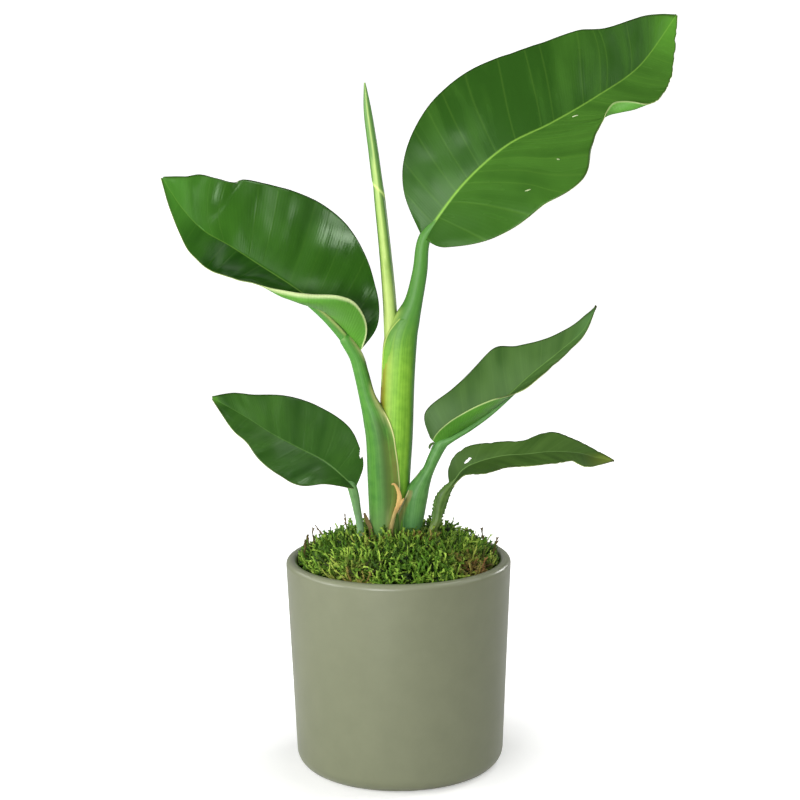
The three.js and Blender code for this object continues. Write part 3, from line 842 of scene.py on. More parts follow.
@dataclass
class Leaf:
    """A leaf: a flat pattern bent round its rib, and the stalk that runs on into the rib."""

    name: str
    rib: Places
    face: Places
    left: Half
    right: Half
    lift_width: float
    rib_half: tuple[float, float]
    stalk: Places
    upper: WaxyBlade
    skin: StalkSkin
    under: BladeUnderside = BladeUnderside()
    edge: BladeMargin = BladeMargin()
    rows: int = 120
    columns: int = 26
    thickness: float = 0.6
    vein_sweep: float = 1.45
    narrowest: float = 0.7
    swell: float = 0.8
    scar_rise: float = 0.5
    scar_thickness: float = 0.2
    swell_spacing: float = 11.0
    tears: tuple[Tear, ...] = ()
    scars: tuple[Tear, ...] = ()
    streaks: tuple[Streak, ...] = ()
    steps_on_rib: int = 200
    curve: list[Vector] = field(init=False)
    distance: list[float] = field(init=False)

    def __post_init__(self) -> None:
        """Walks the rib once, so that places on it can be read by distance."""
        self.curve = [Vector(spline(self.rib, i / self.steps_on_rib)) for i in range(self.steps_on_rib + 1)]
        self.distance = [0.0]
        for before, after in zip(self.curve, self.curve[1:]):
            self.distance.append(self.distance[-1] + (after - before).length)

    @property
    def length(self) -> float:
        """The rib's length."""
        return self.distance[-1]

    def on_rib(self, along: float) -> Vector:
        """The place on the rib at a distance along it."""
        i = min(max(bisect.bisect_left(self.distance, along), 1), self.steps_on_rib)
        share = (along - self.distance[i - 1]) / (self.distance[i] - self.distance[i - 1])
        return self.curve[i - 1].lerp(self.curve[i], share)

    def frame_at(self, along: float) -> tuple[Vector, Vector, Vector]:
        """The rib's frame at a distance along it, straight on past its ends.

        Args:
            along: The distance.

        Returns:
            The place, the way that the upper side faces, and the way across to the right half.
        """
        reach = self.length * 0.02
        inside = min(max(along, 0.0), self.length)
        start = min(max(along - reach, 0.0), self.length - reach)
        end = min(max(along + reach, reach), self.length)
        direction = (self.on_rib(end) - self.on_rib(start)).normalized()
        face = Vector(spline(self.face, inside / self.length))
        face = (face - direction * face.dot(direction)).normalized()
        return self.on_rib(inside) + direction * (along - inside), face, direction.cross(face)

    def half(self, side: Side) -> Half:
        """The plan of one half."""
        return self.left if side is Side.LEFT else self.right

    def bend(self, along: float, out: float, side: Side, margin_out: float) -> Vector:
        """Bends a point of the flat pattern into its place on the upper side.

        Args:
            along: Millimetres along the rib.
            out: Millimetres out from it.
            side: Which half.
            margin_out: How far out the margin is on the same side vein.

        Returns:
            The place.
        """
        plan = self.half(side)
        place, face, across = self.frame_at(along)
        share = min(max(along / self.length, 0.0), 1.0)
        at_rib, at_width = (math.radians(angle) for angle in spline(plan.lift, share))
        curl = (at_width - at_rib) / self.lift_width or 1e-9
        flat = max(margin_out - plan.roll.strip, 0.0) if plan.roll else math.inf
        walks = [(at_rib, curl, min(out, flat))]
        if out > flat:
            strength = math.exp(-(((along - plan.roll.centre) / plan.roll.spread) ** 2))
            turn = curl + math.radians(plan.roll.degrees) / plan.roll.strip * strength
            walks.append((at_rib + curl * flat, turn, out - flat))
        for angle, bending, distance in walks:
            end = angle + bending * distance
            place += across * side.value * (math.sin(end) - math.sin(angle)) / bending
            place += face * (math.cos(angle) - math.cos(end)) / bending
        return place

    def flat_place(self, t: float, v: float, side: Side) -> tuple[float, float, float, float]:
        """Finds a point of the flat pattern.

        Args:
            t: From 0 at the blade's foot to 1 at its tip.
            v: From 0 at the rib to 1 at the margin, along a side vein.
            side: Which half.

        Returns:
            Its place along the rib and out from it, how far out the margin is, and where on the rib
            its vein starts.
        """
        plan = self.half(side)
        margin_along, margin_width = spline(plan.margin, t)
        low, high, depth = plan.ragged
        if low < t < high:
            bite = noise.noise(Vector((t * self.length / 3.5, side.value * 7.0, 0.0)))
            margin_width -= depth * max(bite + 0.1, 0.0) * smooth_step(low, low + 0.03, t)
        margin_out = max(margin_width, self.narrowest)
        foot = self.length * t ** self.vein_sweep
        return foot + (margin_along - foot) * v, margin_out * v, margin_out, foot

    def in_a_tear(self, along: float, out: float, side: Side) -> bool:
        """Whether a point of the flat pattern lies in a tear."""
        for tear in self.tears:
            if tear.side is not side:
                continue
            off = Vector((along - tear.along, out - tear.out))
            if (off.dot(tear.way) / tear.length * 2) ** 2 + (off.cross(tear.way) / tear.width * 2) ** 2 < 1:
                return True
        return False

    def blade(self) -> bpy.types.Object:
        """Builds the blade from a grid, cuts its tears and gives it its thickness."""
        bm = bmesh.new()
        share_layer = bm.verts.layers.float.new("share")
        edge_layer = bm.verts.layers.float.new("edge")
        bmesh.ops.create_grid(bm, x_segments=self.columns * 2, y_segments=self.rows, size=1)
        veins = bm.loops.layers.uv.new("veins")
        torn = []
        for face in bm.faces:
            middle = face.calc_center_median()
            side = Side.LEFT if middle.x < 0 else Side.RIGHT
            along, out, _, _ = self.flat_place((middle.y + 1) / 2, abs(middle.x), side)
            if self.in_a_tear(along, out, side):
                torn.append(face)
            for loop in face.loops:
                at = loop.vert.co
                _, out, _, foot = self.flat_place((at.y + 1) / 2, abs(at.x), side)
                loop[veins].uv = (foot * MM, side.value * out * MM)
        swells = []
        for vert in bm.verts:
            t, v = (vert.co.y + 1) / 2, abs(vert.co.x)
            side = Side.LEFT if vert.co.x < 0 else Side.RIGHT
            along, out, margin_out, foot = self.flat_place(t, v, side)
            vert[share_layer] = t
            vert[edge_layer] = margin_out - out
            vert.co = self.bend(along, out, side, margin_out) * MM
            wave = noise.noise(Vector((foot / self.swell_spacing, 9.0 * side.value, v * 1.5)))
            swells.append(self.swell * v * wave)
        bm.normal_update()
        for vert, swell in zip(bm.verts, swells):
            vert.co += vert.normal * swell * MM
        bmesh.ops.delete(bm, geom=torn, context="FACES")
        skins = [self.upper.material(), self.under.material(), self.edge.material()]
        piece = finish_piece(f"{self.name}_blade", bm, skins, f"leaf_{self.name}")
        wall = add_wall(piece, self.thickness, -1)
        wall.material_offset = 1
        wall.material_offset_rim = 2
        return piece

    def scar_marks(self) -> bpy.types.Object:
        """Lays thin pale ovals on the upper side, where the skin was once scratched."""
        bm = bmesh.new()
        for scar in self.scars:
            rounds = bmesh.ops.create_circle(bm, cap_ends=True, segments=12, radius=0.5)["verts"]
            way = scar.way
            for vert in rounds:
                flat = Vector((scar.along, scar.out)) + way * vert.co.x * scar.length
                flat += Vector((-way.y, way.x)) * vert.co.y * scar.width
                _, face, _ = self.frame_at(flat.x)
                vert.co = (self.bend(flat.x, flat.y, scar.side, math.inf) + face * self.scar_rise) * MM
        bmesh.ops.solidify(bm, geom=bm.faces[:], thickness=-self.scar_thickness * MM)
        return finish_piece(f"{self.name}_scars", bm, [SCAR.material()], f"leaf_{self.name}")

    def stalk_tube(self) -> Tube:
        """The stalk and the rib below the blade as one tube, which thins out towards the tip."""
        half_width, half_depth = self.rib_half
        stations = list(self.stalk)
        backs = [(0.0, 1.0, 0.0)] * len(stations)
        for share in (0.08, 0.18, 0.3, 0.44, 0.58, 0.72, 0.86):
            taper = (1 - share) ** 1.2
            place, face, _ = self.frame_at(share * self.length)
            centre = place - face * (0.35 + half_depth * taper)
            stations.append((*centre, half_width * taper, half_depth * taper))
            backs.append(tuple(-face))
        return Tube(tuple(stations), backs=tuple(backs), streaks=self.streaks, steps=len(stations) * 8)

    def build(self) -> None:
        """Builds the blade with its scars, and the stalk with its rib."""
        self.blade()
        if self.scars:
            self.scar_marks()
        finish_piece(f"{self.name}_stalk", self.stalk_tube().mesh(), [self.skin.material()],
                     f"leaf_{self.name}")


@dataclass
class SheathFlap:
    """The free edge of a leaf sheath, drawn tight over the stems that it clasps."""

    name: str
    node: str
    over: tuple[Tube, ...]
    free: Places
    width: float
    free_side: Side
    skin: StalkSkin
    rows: int = 70
    columns: int = 22
    half_length: float = 50.0
    thickness: float = 0.5
    smoothings: int = 4
    blend: float = 3.0
    proud: float = 0.9
    dry_reach: float = 9.0
    dryness: float = 0.95
    dry_from: float = 240.0
    pale_from: float = 242.0
    foot_fade: float = 0.15
    top_fade: float = 0.93

    def drape(self, x: float, height: float) -> float:
        """How far to the front the sheath lies over its stems.

        Args:
            x: A place across.
            height: Its height.

        Returns:
            The y there, with the dips between the stems bridged.
        """
        fronts = sorted(y for y in (tube.front(x, height) for tube in self.over) if y is not None)
        if not fronts:
            return 0.0
        if len(fronts) == 1:
            return fronts[0]
        closeness = max(self.blend - abs(fronts[1] - fronts[0]), 0.0) / self.blend
        return fronts[0] - closeness * closeness * self.blend / 4

    def build(self) -> bpy.types.Object:
        """Drapes a grid, smooths it, paints its edge and gives it its thickness."""
        bm = grain_grid(self.columns, self.rows, self.width / 2, self.half_length, 0.0)
        layers = {tint: bm.verts.layers.float.new(tint.value) for tint in Tint}
        for vert in bm.verts:
            out, share = (vert.co.x + 1) / 2, (vert.co.y + 1) / 2
            if self.free_side is Side.LEFT:
                out = 1 - out
            free_x, height = spline(self.free, share)
            x = free_x - self.free_side.value * self.width * (1 - out)
            free_of_ends = smooth_step(0, self.foot_fade,
                                       share) * (1 - smooth_step(self.top_fade, 1, share))
            proud = self.proud * (2.2 * out * free_of_ends - 1.2)
            off = self.width * (1 - out)
            streaky = 0.75 + 0.5 * noise.noise(Vector((x * 0.8, height * 0.05, 3.0)))
            tip = smooth_step(self.pale_from, self.pale_from + 25, height) * (1 - smooth_step(0, 5, off))
            vert[layers[Tint.PALE]] = min(1 - smooth_step(0.3, 1.3, off) + 0.8 * tip, 1.0)
            lower = 0.1 + 0.9 * (1 - smooth_step(self.dry_from - 15, self.dry_from + 15, height))
            inside = smooth_step(0.8, 2.0, off) * (1 - smooth_step(2.0, self.dry_reach, off))
            vert[layers[Tint.DRY]] = self.dryness * lower * streaky * inside
            vert.co = Vector((x, self.drape(x, height) - proud, height))
        inner = [vert for vert in bm.verts if not vert.is_boundary]
        for _ in range(self.smoothings):
            bmesh.ops.smooth_vert(bm, verts=inner, factor=0.5, use_axis_y=True)
        bmesh.ops.scale(bm, vec=(MM, MM, MM), verts=bm.verts)
        bmesh.ops.recalc_face_normals(bm, faces=bm.faces)
        piece = finish_piece(self.name, bm, [self.skin.material()], self.node)
        add_wall(piece, self.thickness)
        return piece


@dataclass
class DryScrap:
    """A dried scrap of old sheath: a thin curled ribbon with ragged edges."""

    name: str
    node: str
    stations: Places
    cup: float
    finish: DryPaper | StalkSkin
    ragged: float = 0.5
    crinkle: float = 0.25
    thickness: float = 0.35
    half_width: float = 2.0
    half_length: float = 30.0
    rows: int = 60
    columns: int = 12

    def build(self) -> bpy.types.Object:
        """Cups a grid along the stations and gives it its thickness."""
        bm = grain_grid(self.columns, self.rows, self.half_width, self.half_length, 0.0)
        tube = Tube(self.stations)
        for vert in bm.verts:
            across, share = vert.co.x, (vert.co.y + 1) / 2
            centre, width, depth = tube.section(share)
            half_width = spline(self.stations, share)[3]
            torn = self.ragged * noise.noise(Vector((share * 30, across * 2, 5.0)))
            crinkle = self.crinkle * noise.noise(Vector((share * 14, across * 3, 9.0)))
            sideways = width * across * (half_width + torn)
            vert.co = centre + sideways + depth * (self.cup * across * across + crinkle)
        bmesh.ops.scale(bm, vec=(MM, MM, MM), verts=bm.verts)
        bmesh.ops.recalc_face_normals(bm, faces=bm.faces)
        piece = finish_piece(self.name, bm, [self.finish.material()], self.node)
        add_wall(piece, self.thickness)
        return piece


@dataclass
class Pot:
    """The round stoneware pot, with a rounded foot and rim."""

    height: float = 156.0
    rim_radius: float = 82.5
    base_radius: float = 76.0
    wall: float = 8.0
    floor: float = 10.0
    steps: int = 144
    rounds: tuple[tuple[int, float, int], ...] = ((1, 12.0, 10), (2, 4.0, 6), (3, 3.0, 5), (4, 2.0, 3))

    def radius(self, height: float) -> float:
        """The outer wall's radius at a height."""
        return self.base_radius + (self.rim_radius - self.base_radius) * height / self.height

    def build(self, finish: MatteGlaze) -> bpy.types.Object:
        """Spins the pot's corners round its axis and rounds the rings that they leave."""
        corners = [(0, 0), (self.base_radius, 0), (self.rim_radius, self.height),
                   (self.rim_radius - self.wall, self.height),
                   (self.radius(self.floor) - self.wall, self.floor), (0, self.floor)]
        bm = spin_profile(corners, self.steps)
        for corner, offset, segments in self.rounds:
            x, z = corners[corner]
            place = Vector((x * MM, z * MM))
            ring = [edge for edge in bm.edges if all(
                (Vector((vert.co.xy.length, vert.co.z)) - place).length < 1e-6 for vert in edge.verts)]
            bmesh.ops.bevel(bm, geom=ring, offset=offset * MM, affect="EDGES", segments=segments,
                            profile=0.5,
                            material=-1, clamp_overlap=True)
        return finish_piece("glazed_pot", bm, [finish.material()], "pot")


@dataclass
class MossMat:
    """The moss: a mound of old growth, and thousands of curled shoots in tufts on it."""

    edge_height: float = 150.5
    centre_height: float = 171.5
    radius: float = 73.0
    steepness: float = 2.4
    tufts: int = 320
    strands_a_tuft: int = 13
    tuft_radius: float = 5.5
    shoot_length: float = 14.0
    shoot_radius: float = 0.6
    leaflet: float = 1.4
    stray_share: float = 0.08
    shoot_segments: int = 6
    shoot_kinds: int = 16
    tuft_kinds: int = 18
    pieces: int = 3
    seed: int = 11
    bed_sides: int = 96
    bed_rings: int = 24
    bed_depth: float = 8.0
    bed_sink: float = 2.5
    bed_relief: float = 1.6
    edge_gap: float = 4.5
    overhang: float = 0.8
    brown_patches: Places = ((-37.0, -60.0, 11.0), (57.0, -38.0, 14.0), (-20.0, -14.0, 5.0),
                             (19.0, -12.0, 6.0))
    twigs: Places = ((-67.0, -8.0), (-64.0, 4.0), (-68.0, 12.0), (-60.0, 18.0), (-52.0, 30.0),
                     (-38.0, 42.0),
                     (30.0, 44.0), (44.0, 36.0), (52.0, 30.0), (66.0, -4.0), (63.0, 14.0), (22.0, 30.0))
    stems: tuple[Tube, ...] = ()

    def height(self, distance: float) -> float:
        """The mound's height at a distance from the pot's axis."""
        share = min(distance / self.radius, 1.0)
        return self.centre_height + (self.edge_height - self.centre_height) * share ** self.steepness

    def bed(self) -> bpy.types.Object:
        """Spins the mound and roughens it."""
        floor = self.edge_height - self.bed_depth
        profile = [(0.0, floor), (self.radius, floor)]
        for i in range(self.bed_rings + 1):
            distance = self.radius * (1 - i / self.bed_rings)
            profile.append((distance, self.height(distance) - self.bed_sink))
        bm = spin_profile(profile, self.bed_sides)
        for vert in bm.verts:
            if vert.co.z > (floor + 1) * MM and vert.co.xy.length < (self.radius - 1) * MM:
                vert.co.z += self.bed_relief * MM * noise.noise(vert.co * 140)
        bmesh.ops.recalc_face_normals(bm, faces=bm.faces)
        return finish_piece("moss_bed", bm, [MossBed().material()], "moss")

    def shoot(self, rng: random.Random) -> bpy.types.Mesh:
        """Grows one curled shoot with leaflets.

        Args:
            rng: The source of its curl.

        Returns:
            Its mesh, rooted at the origin and growing up.
        """
        bm = bmesh.new()
        bmesh.ops.create_circle(bm, segments=3, radius=self.shoot_radius)
        edges = list(bm.edges)
        segments = self.shoot_segments
        axis = Vector((rng.uniform(-1, 1), rng.uniform(-1, 1), 0.3)).normalized()
        bend = Matrix.Rotation(math.radians(rng.uniform(4, 20)), 3, axis)
        way = Vector((0, 0, self.shoot_length / segments))
        centre = Vector((0, 0, 0))
        for i in range(segments):
            grown = bmesh.ops.extrude_edge_only(bm, edges=edges)["geom"]
            ring = [item for item in grown if isinstance(item, bmesh.types.BMVert)]
            walls = [item for item in grown if isinstance(item, bmesh.types.BMFace)]
            edges = [item for item in grown if isinstance(item, bmesh.types.BMEdge)
                     and all(vert in ring for vert in item.verts)]
            way = bend @ way
            centre = centre + way
            bmesh.ops.translate(bm, vec=way, verts=ring)
            bmesh.ops.rotate(bm, cent=centre, matrix=bend, verts=ring)
            thin = 0.4 if i == segments - 1 else 0.95
            bmesh.ops.scale(bm, vec=(thin, thin, thin), space=Matrix.Translation(-centre), verts=ring)
            bmesh.ops.recalc_face_normals(bm, faces=bm.faces)
            leafy = walls[i % 3:] + walls[:i % 3]
            tips = bmesh.ops.poke(bm, faces=leafy[:2], offset=self.leaflet * rng.uniform(0.6, 1.2))["verts"]
            bmesh.ops.translate(bm, vec=way * 0.7, verts=tips)
        bmesh.ops.holes_fill(bm, edges=[edge for edge in bm.edges if edge.is_boundary], sides=0)
        bmesh.ops.recalc_face_normals(bm, faces=bm.faces)
        return to_mesh("shoot", bm)

    def tuft(self, rng: random.Random, shoots: list[bpy.types.Mesh]) -> bpy.types.Mesh:
        """Gathers shoots into a tuft.

        Args:
            rng: The source of their places.
            shoots: The kinds of shoot.

        Returns:
            The tuft's mesh, rooted at the origin, with each shoot's shade.
        """
        bm = bmesh.new()
        shade = bm.verts.layers.float.new("shade")
        bm.verts.layers.float.new("dead")
        for _ in range(self.strands_a_tuft):
            grown = paste(bm, rng.choice(shoots))
            bearing = rng.uniform(0, 2 * math.pi)
            out = self.tuft_radius * math.sqrt(rng.random())
            lean = math.radians(rng.uniform(25, 90))
            turned = Matrix.Rotation(bearing, 4, "Z") @ Matrix.Rotation(lean, 4, "Y")
            size = rng.uniform(0.55, 1.2)
            spun = turned @ Matrix.Rotation(rng.uniform(0, 6.28), 4, "Z") @ Matrix.Scale(size, 4)
            root = Vector((out * math.cos(bearing), out * math.sin(bearing), rng.uniform(-3.5, 0)))
            tone = rng.gauss(0.47, 0.2)
            if rng.random() < self.stray_share:
                spun = spun @ Matrix.Diagonal((0.55, 0.55, 1.25, 1.0))
                tone = 0.9
            for vert in grown:
                # Darker towards the root: older growth, and painted shade down in the gaps.
                vert[shade] = tone + 0.35 * (vert.co.length / self.shoot_length - 0.6)
            bmesh.ops.transform(bm, matrix=Matrix.Translation(root) @ spun, verts=grown)
        return to_mesh("tuft", bm)

    def plant_twigs(self, bm: bmesh.types.BMesh, rng: random.Random, shoots: list[bpy.types.Mesh]) -> None:
        """Adds the dark old shoots that stand up out of the mat.

        Args:
            bm: The mesh that they go in.
            rng: The source of their lean.
            shoots: The kinds of shoot.
        """
        shade, dead = bm.verts.layers.float["shade"], bm.verts.layers.float["dead"]
        for x, y in self.twigs:
            grown = paste(bm, rng.choice(shoots))
            for vert in grown:
                vert[shade] = 0.05
                vert[dead] = rng.uniform(0.2, 0.45)
            outwards = math.atan2(y, x)
            tilt = Matrix.Rotation(math.radians(rng.uniform(0, 40)), 4, "Y")
            turned = Matrix.Rotation(outwards, 4, "Z") @ tilt @ Matrix.Rotation(rng.uniform(0, 6.28), 4,
                                                                                "Z")
            spun = turned @ Matrix.Diagonal((0.9, 0.9, 1.35, 1.0))
            root = Vector((x, y, self.height(math.hypot(x, y)) - 1))
            bmesh.ops.transform(bm, matrix=Matrix.Scale(MM, 4) @ Matrix.Translation(root) @ spun,
                                verts=grown)

    def deadness(self, x: float, y: float) -> float:
        """How brown the moss is at a place."""
        return max(math.exp(-((x - middle_x) ** 2 + (y - middle_y) ** 2) / (size * size))
                   for middle_x, middle_y, size in self.brown_patches)

    def crowded(self, x: float, y: float) -> bool:
        """Whether a tuft there would stand inside a stem."""
        for stem in self.stems:
            centre_x, centre_y, _, half_width, half_depth = spline(stem.stations, 0.12)
            if ((x - centre_x) / half_width) ** 2 + ((y - centre_y) / half_depth) ** 2 < 0.6:
                return True
        return False

    def plant_tuft(self, bm: bmesh.types.BMesh, number: int, tufts: list[bpy.types.Mesh],
                   rng: random.Random) -> None:
        """Plants one tuft on the mound, leaning out, or in by the rim.

        Args:
            bm: The mesh that it goes in.
            number: Which of the tufts it is, from the middle out.
            tufts: The kinds of tuft.
            rng: The source of its size and turn.
        """
        golden_angle = math.pi * (3 - math.sqrt(5))
        distance = (self.radius - self.edge_gap) * math.sqrt((number + 0.5) / self.tufts)
        bearing = number * golden_angle + rng.uniform(-0.08, 0.08)
        x, y = distance * math.cos(bearing), distance * math.sin(bearing)
        if self.crowded(x, y):
            return
        grown = paste(bm, rng.choice(tufts))
        shade, dead = bm.verts.layers.float["shade"], bm.verts.layers.float["dead"]
        inwards = smooth_step(self.radius - 10, self.radius - 3, distance)
        tilt = 0.5 * distance / self.radius - 0.9 * inwards
        lean = Matrix.Rotation(tilt, 4, Vector((-math.sin(bearing), math.cos(bearing), 0)))
        spun = lean @ Matrix.Rotation(rng.uniform(0, 6.28), 4, "Z")
        size = rng.uniform(0.85, 1.1) * (1 - 0.25 * inwards)
        root = Vector((x, y, self.height(distance) - 1.5 + rng.uniform(-1.2, 1.6)))
        lightness = 0.4 * noise.noise(Vector((x, y, 0)) * 0.07) + 0.12 * rng.gauss(0, 1)
        browned = self.deadness(x, y) * rng.uniform(0.5, 1.2)
        move = Matrix.Scale(MM, 4) @ Matrix.Translation(root) @ spun @ Matrix.Scale(size, 4)
        bmesh.ops.transform(bm, matrix=move, verts=grown)
        for vert in grown:
            vert[shade] += lightness
            vert[dead] = min(browned, 1.0)
            reach = vert.co.xy.length / MM
            if reach > self.radius + self.overhang:
                vert.co.xy *= (self.radius + self.overhang) / reach

    def build(self) -> None:
        """Plants the tufts all over the mound, evenly but not regularly."""
        self.bed()
        rng = random.Random(self.seed)
        shoots = [self.shoot(rng) for _ in range(self.shoot_kinds)]
        tufts = [self.tuft(rng, shoots) for _ in range(self.tuft_kinds)]
        finish = LivingMoss().material()
        for part in range(self.pieces):
            bm = bmesh.new()
            bm.verts.layers.float.new("shade")
            bm.verts.layers.float.new("dead")
            for number in range(part, self.tufts, self.pieces):
                self.plant_tuft(bm, number, tufts, rng)
            if part == 0:
                self.plant_twigs(bm, rng, shoots)
            finish_piece(f"moss_shoots_{part + 1}", bm, [finish], "moss")
        for mesh in shoots + tufts:
            bpy.data.meshes.remove(mesh)


@dataclass
class Plant:
    """The leaves, their sheaths and the rolled leaf, all from one crown."""

    leaves: tuple[Leaf, ...]
    spike: RolledSpike
    scraps: tuple[DryScrap, ...]
    spike_skin: StalkSkin

    def tubes(self) -> dict[str, Tube]:
        """The stalks by leaf, with the rolled leaf."""
        return {leaf.name: leaf.stalk_tube() for leaf in self.leaves} | {"rolled": self.spike}

    def flaps(self) -> tuple[SheathFlap, ...]:
        """The sheath edges that show at the front."""
        tubes = self.tubes()
        skins = {leaf.name: leaf.skin for leaf in self.leaves}
        return (
            SheathFlap("upper_left_sheath_edge", "leaf_upper_left",
                       (tubes["upper_left"], tubes["upper_right"]),
                       ((-5.5, 166), (-4.0, 178), (-2.3, 186), (0, 197), (1.5, 208), (1.2, 217), (0.3, 227),
                        (-1.1, 238), (-2.7, 249), (-6.4, 260), (-12.2, 269), (-16.6, 276), (-19.2, 281)),
                       9.0, Side.RIGHT, skins["upper_left"], top_fade=0.8),
            SheathFlap("upper_right_sheath_edge", "leaf_upper_right",
                       (tubes["upper_right"], tubes["rolled"]),
                       ((-11.2, 282), (-10.9, 293), (-10.4, 303), (-9.6, 310.6), (-8.0, 317.2),
                        (-5.3, 323.2),
                        (-1.5, 328.2), (3.2, 333.5)),
                       9.0, Side.LEFT, skins["upper_right"], dry_reach=3.0, dryness=0.0, proud=0.7,
                       pale_from=400, foot_fade=0.5),
            SheathFlap("middle_right_sheath_edge", "leaf_middle_right",
                       (tubes["middle_right"], tubes["upper_right"]),
                       ((-6, 166), (-4, 177), (-2, 186), (3, 197), (5.9, 202.6), (9.5, 210.8),
                        (12.5, 215.2),
                        (16.9, 220.7)),
                       8.0, Side.LEFT, skins["middle_right"], dry_reach=8.0, dryness=0.9, dry_from=300,
                       pale_from=400),
        )

    def build(self) -> None:
        """Builds every leaf, sheath edge and scrap."""
        for leaf in self.leaves:
            leaf.build()
        for flap in self.flaps():
            flap.build()
        finish_piece("rolled_spike", self.spike.mesh(), [self.spike_skin.material()], "rolled_leaf")
        for scrap in self.scraps:
            scrap.build()


UPPER_RIGHT = Leaf(
    name="upper_right",
    rib=((20, 0, 390), (47, -6, 427), (78, -10, 455), (110, -10, 471), (142, -6, 489), (173, 2, 510),
         (200, 14, 545)),
    face=((-0.25, -0.85, 0.45), (-0.25, -0.85, 0.45), (-0.2, -0.9, 0.4)),
    left=Half(
        margin=((0, 2), (18, 31), (41, 50), (70, 63), (101, 64), (145, 57), (191, 44), (230, 21), (246, 0)),
        lift=((20, 5), (15, -5), (15, 0), (10, 10)),
    ),
    right=Half(
        margin=((0, 2), (7, 23), (38, 53), (90, 64), (121, 63), (137, 40), (150, 27), (164, 28), (181, 39),
                (196, 33),
                (214, 20), (245, 1)),
        lift=((20, 15), (18, 12), (15, 8), (15, 15), (18, 20), (18, 30), (15, 40), (15, 30), (10, 20)),
        roll=Roll(167, 12, 9, 150),
        ragged=(0.72, 0.97, 2.2),
    ),
    lift_width=62,
    rib_half=(4.2, 3.6),
    stalk=((-6, 4, 132, 9, 8), (-4.6, 4, 175, 11, 10), (-2.7, 4, 223, 12.4, 11), (-1, 4, 248, 12.4, 11),
           (0.6, 3.5, 284, 12.1, 10.5), (2.8, 3, 315, 12, 9.5), (7.7, 2, 331, 9.4, 7.5),
           (12.7, 1, 345, 6.5, 6),
           (17.2, 1, 366, 5.4, 5), (20.5, 2, 389, 4.6, 4.4)),
    upper=WaxyBlade(painted_side_light=0.4, painted_foot_shade=0.7, left_gloss=0.7),
    skin=StalkSkin("stalk skin of the upper right leaf", deep="#6a9f29", fresh="#85b838", dark_band_and_painted_shade="#2f6a1c",
                   upper="#447f33", pale="#bfd873", dry="#9a852c", foot="#5b8a3c"),
    rows=170,
    columns=34,
    scars=(
        Tear(Side.RIGHT, 140.5, 5.6, 4.5, 1.0, 18),
        Tear(Side.RIGHT, 84.4, 44.7, 5.2, 1.1, 25),
        Tear(Side.RIGHT, 116.0, 34.8, 2.6, 0.7, 60),
    ),
    streaks=(
        Streak(Tint.PALE, 0.66, 0.03, 200, 300, 0.35),
        Streak(Tint.DRY, 0.55, 0.08, 262, 306, 0.95, 25),
        Streak(Tint.PALE, 0.56, 0.06, 314, 334, 0.85, 8),
        # Painted shade down the stalk's right edge.
        Streak(Tint.DARK_BAND_AND_PAINTED_SHADE, 0.955, 0.07, 170, 420, 1.0),
    ),
)

UPPER_LEFT = Leaf(
    name="upper_left",
    rib=((-26, -2, 310), (-40, -5, 328), (-56, -9, 344), (-75, -14, 359), (-95, -19, 373), (-116, -25, 388),
         (-135, -28, 400), (-150, -29, 417), (-162, -26, 436)),
    face=((0.65, -0.25, 0.72), (0.45, -0.5, 0.72), (0.25, -0.72, 0.65), (0.1, -0.8, 0.6)),
    left=Half(
        margin=((0, 2), (12, 19), (33, 40), (47, 45), (62, 40), (78, 32), (96, 25), (113, 27), (128, 29),
                (143, 22),
                (162, 11), (191, 1)),
        lift=((70, 95), (30, 110), (-5, 120), (-5, 70), (0, 20), (0, 15), (5, 10)),
        roll=Roll(72, 22, 8, 90),
    ),
    right=Half(
        margin=((0, 2), (6, 20), (25, 40), (39, 56), (57, 74), (76, 77), (102, 68), (134, 52), (175, 29),
                (184, 14),
                (191, 1)),
        lift=((75, 80), (50, 30), (30, 10), (20, 5), (15, 0), (10, 0), (5, 5)),
    ),
    lift_width=60,
    rib_half=(4.4, 4),
    stalk=((-10, -2, 134, 9, 8), (-9.7, -2, 176, 11, 9.5), (-10.4, -2, 214, 11.6, 9.5),
           (-12.3, -2, 243, 10.5, 9),
           (-15.7, -2, 259, 9.1, 8), (-21.3, -2, 275, 6.1, 6), (-25.3, -2, 291.5, 5.4, 5.2),
           (-29, -2, 305, 5.2, 5),
           (-36, -3, 317, 4.6, 4.6)),
    upper=WaxyBlade(name="waxy upper side of the upper left leaf", deep="#204711", fresh="#3b6d1f",
                    tip="#47802a",
                    rib="#6f9c3c", rib_width=1.3, tip_from=0.75, roughness=0.2, gloss=0.5, left_gloss=0.15,
                    painted_side_light=0.3, painted_foot_shade=0.8, streak_relief=10.0),
    under=BladeUnderside(name="underside of the upper left leaf", margin_share=0.8, margin_width=4.0),
    edge=BladeMargin(name="pale leaf margin", brown="#9aad68"),
    skin=StalkSkin("stalk skin of the upper left leaf", deep="#417c2b", fresh="#559035", dark_band_and_painted_shade="#3f5f26",
                   upper="#4f8a38", pale="#cfd08a", dry="#84753a", foot="#628248"),
    rows=160,
    columns=34,
    streaks=(
        Streak(Tint.DRY, 0.85, 0.06, 176, 240, 0.35),
        # A darker olive band just right of the front.
        Streak(Tint.DARK_BAND_AND_PAINTED_SHADE, 0.78, 0.055, 160, 255, 0.9),
        # Painted shade down the stalk's right edge.
        Streak(Tint.DARK_BAND_AND_PAINTED_SHADE, 0.955, 0.06, 240, 330, 0.8),
        Streak(Tint.PALE, 0.79, 0.015, 150, 186, 0.22),
        Streak(Tint.PALE, 0.66, 0.06, 326, 350, 0.75, 10),
        Streak(Tint.PALE, 0.93, 0.06, 309, 318, 0.6, 10),
        Streak(Tint.PALE, 0.9, 0.05, 262, 279, 0.7, 10),
    ),
)

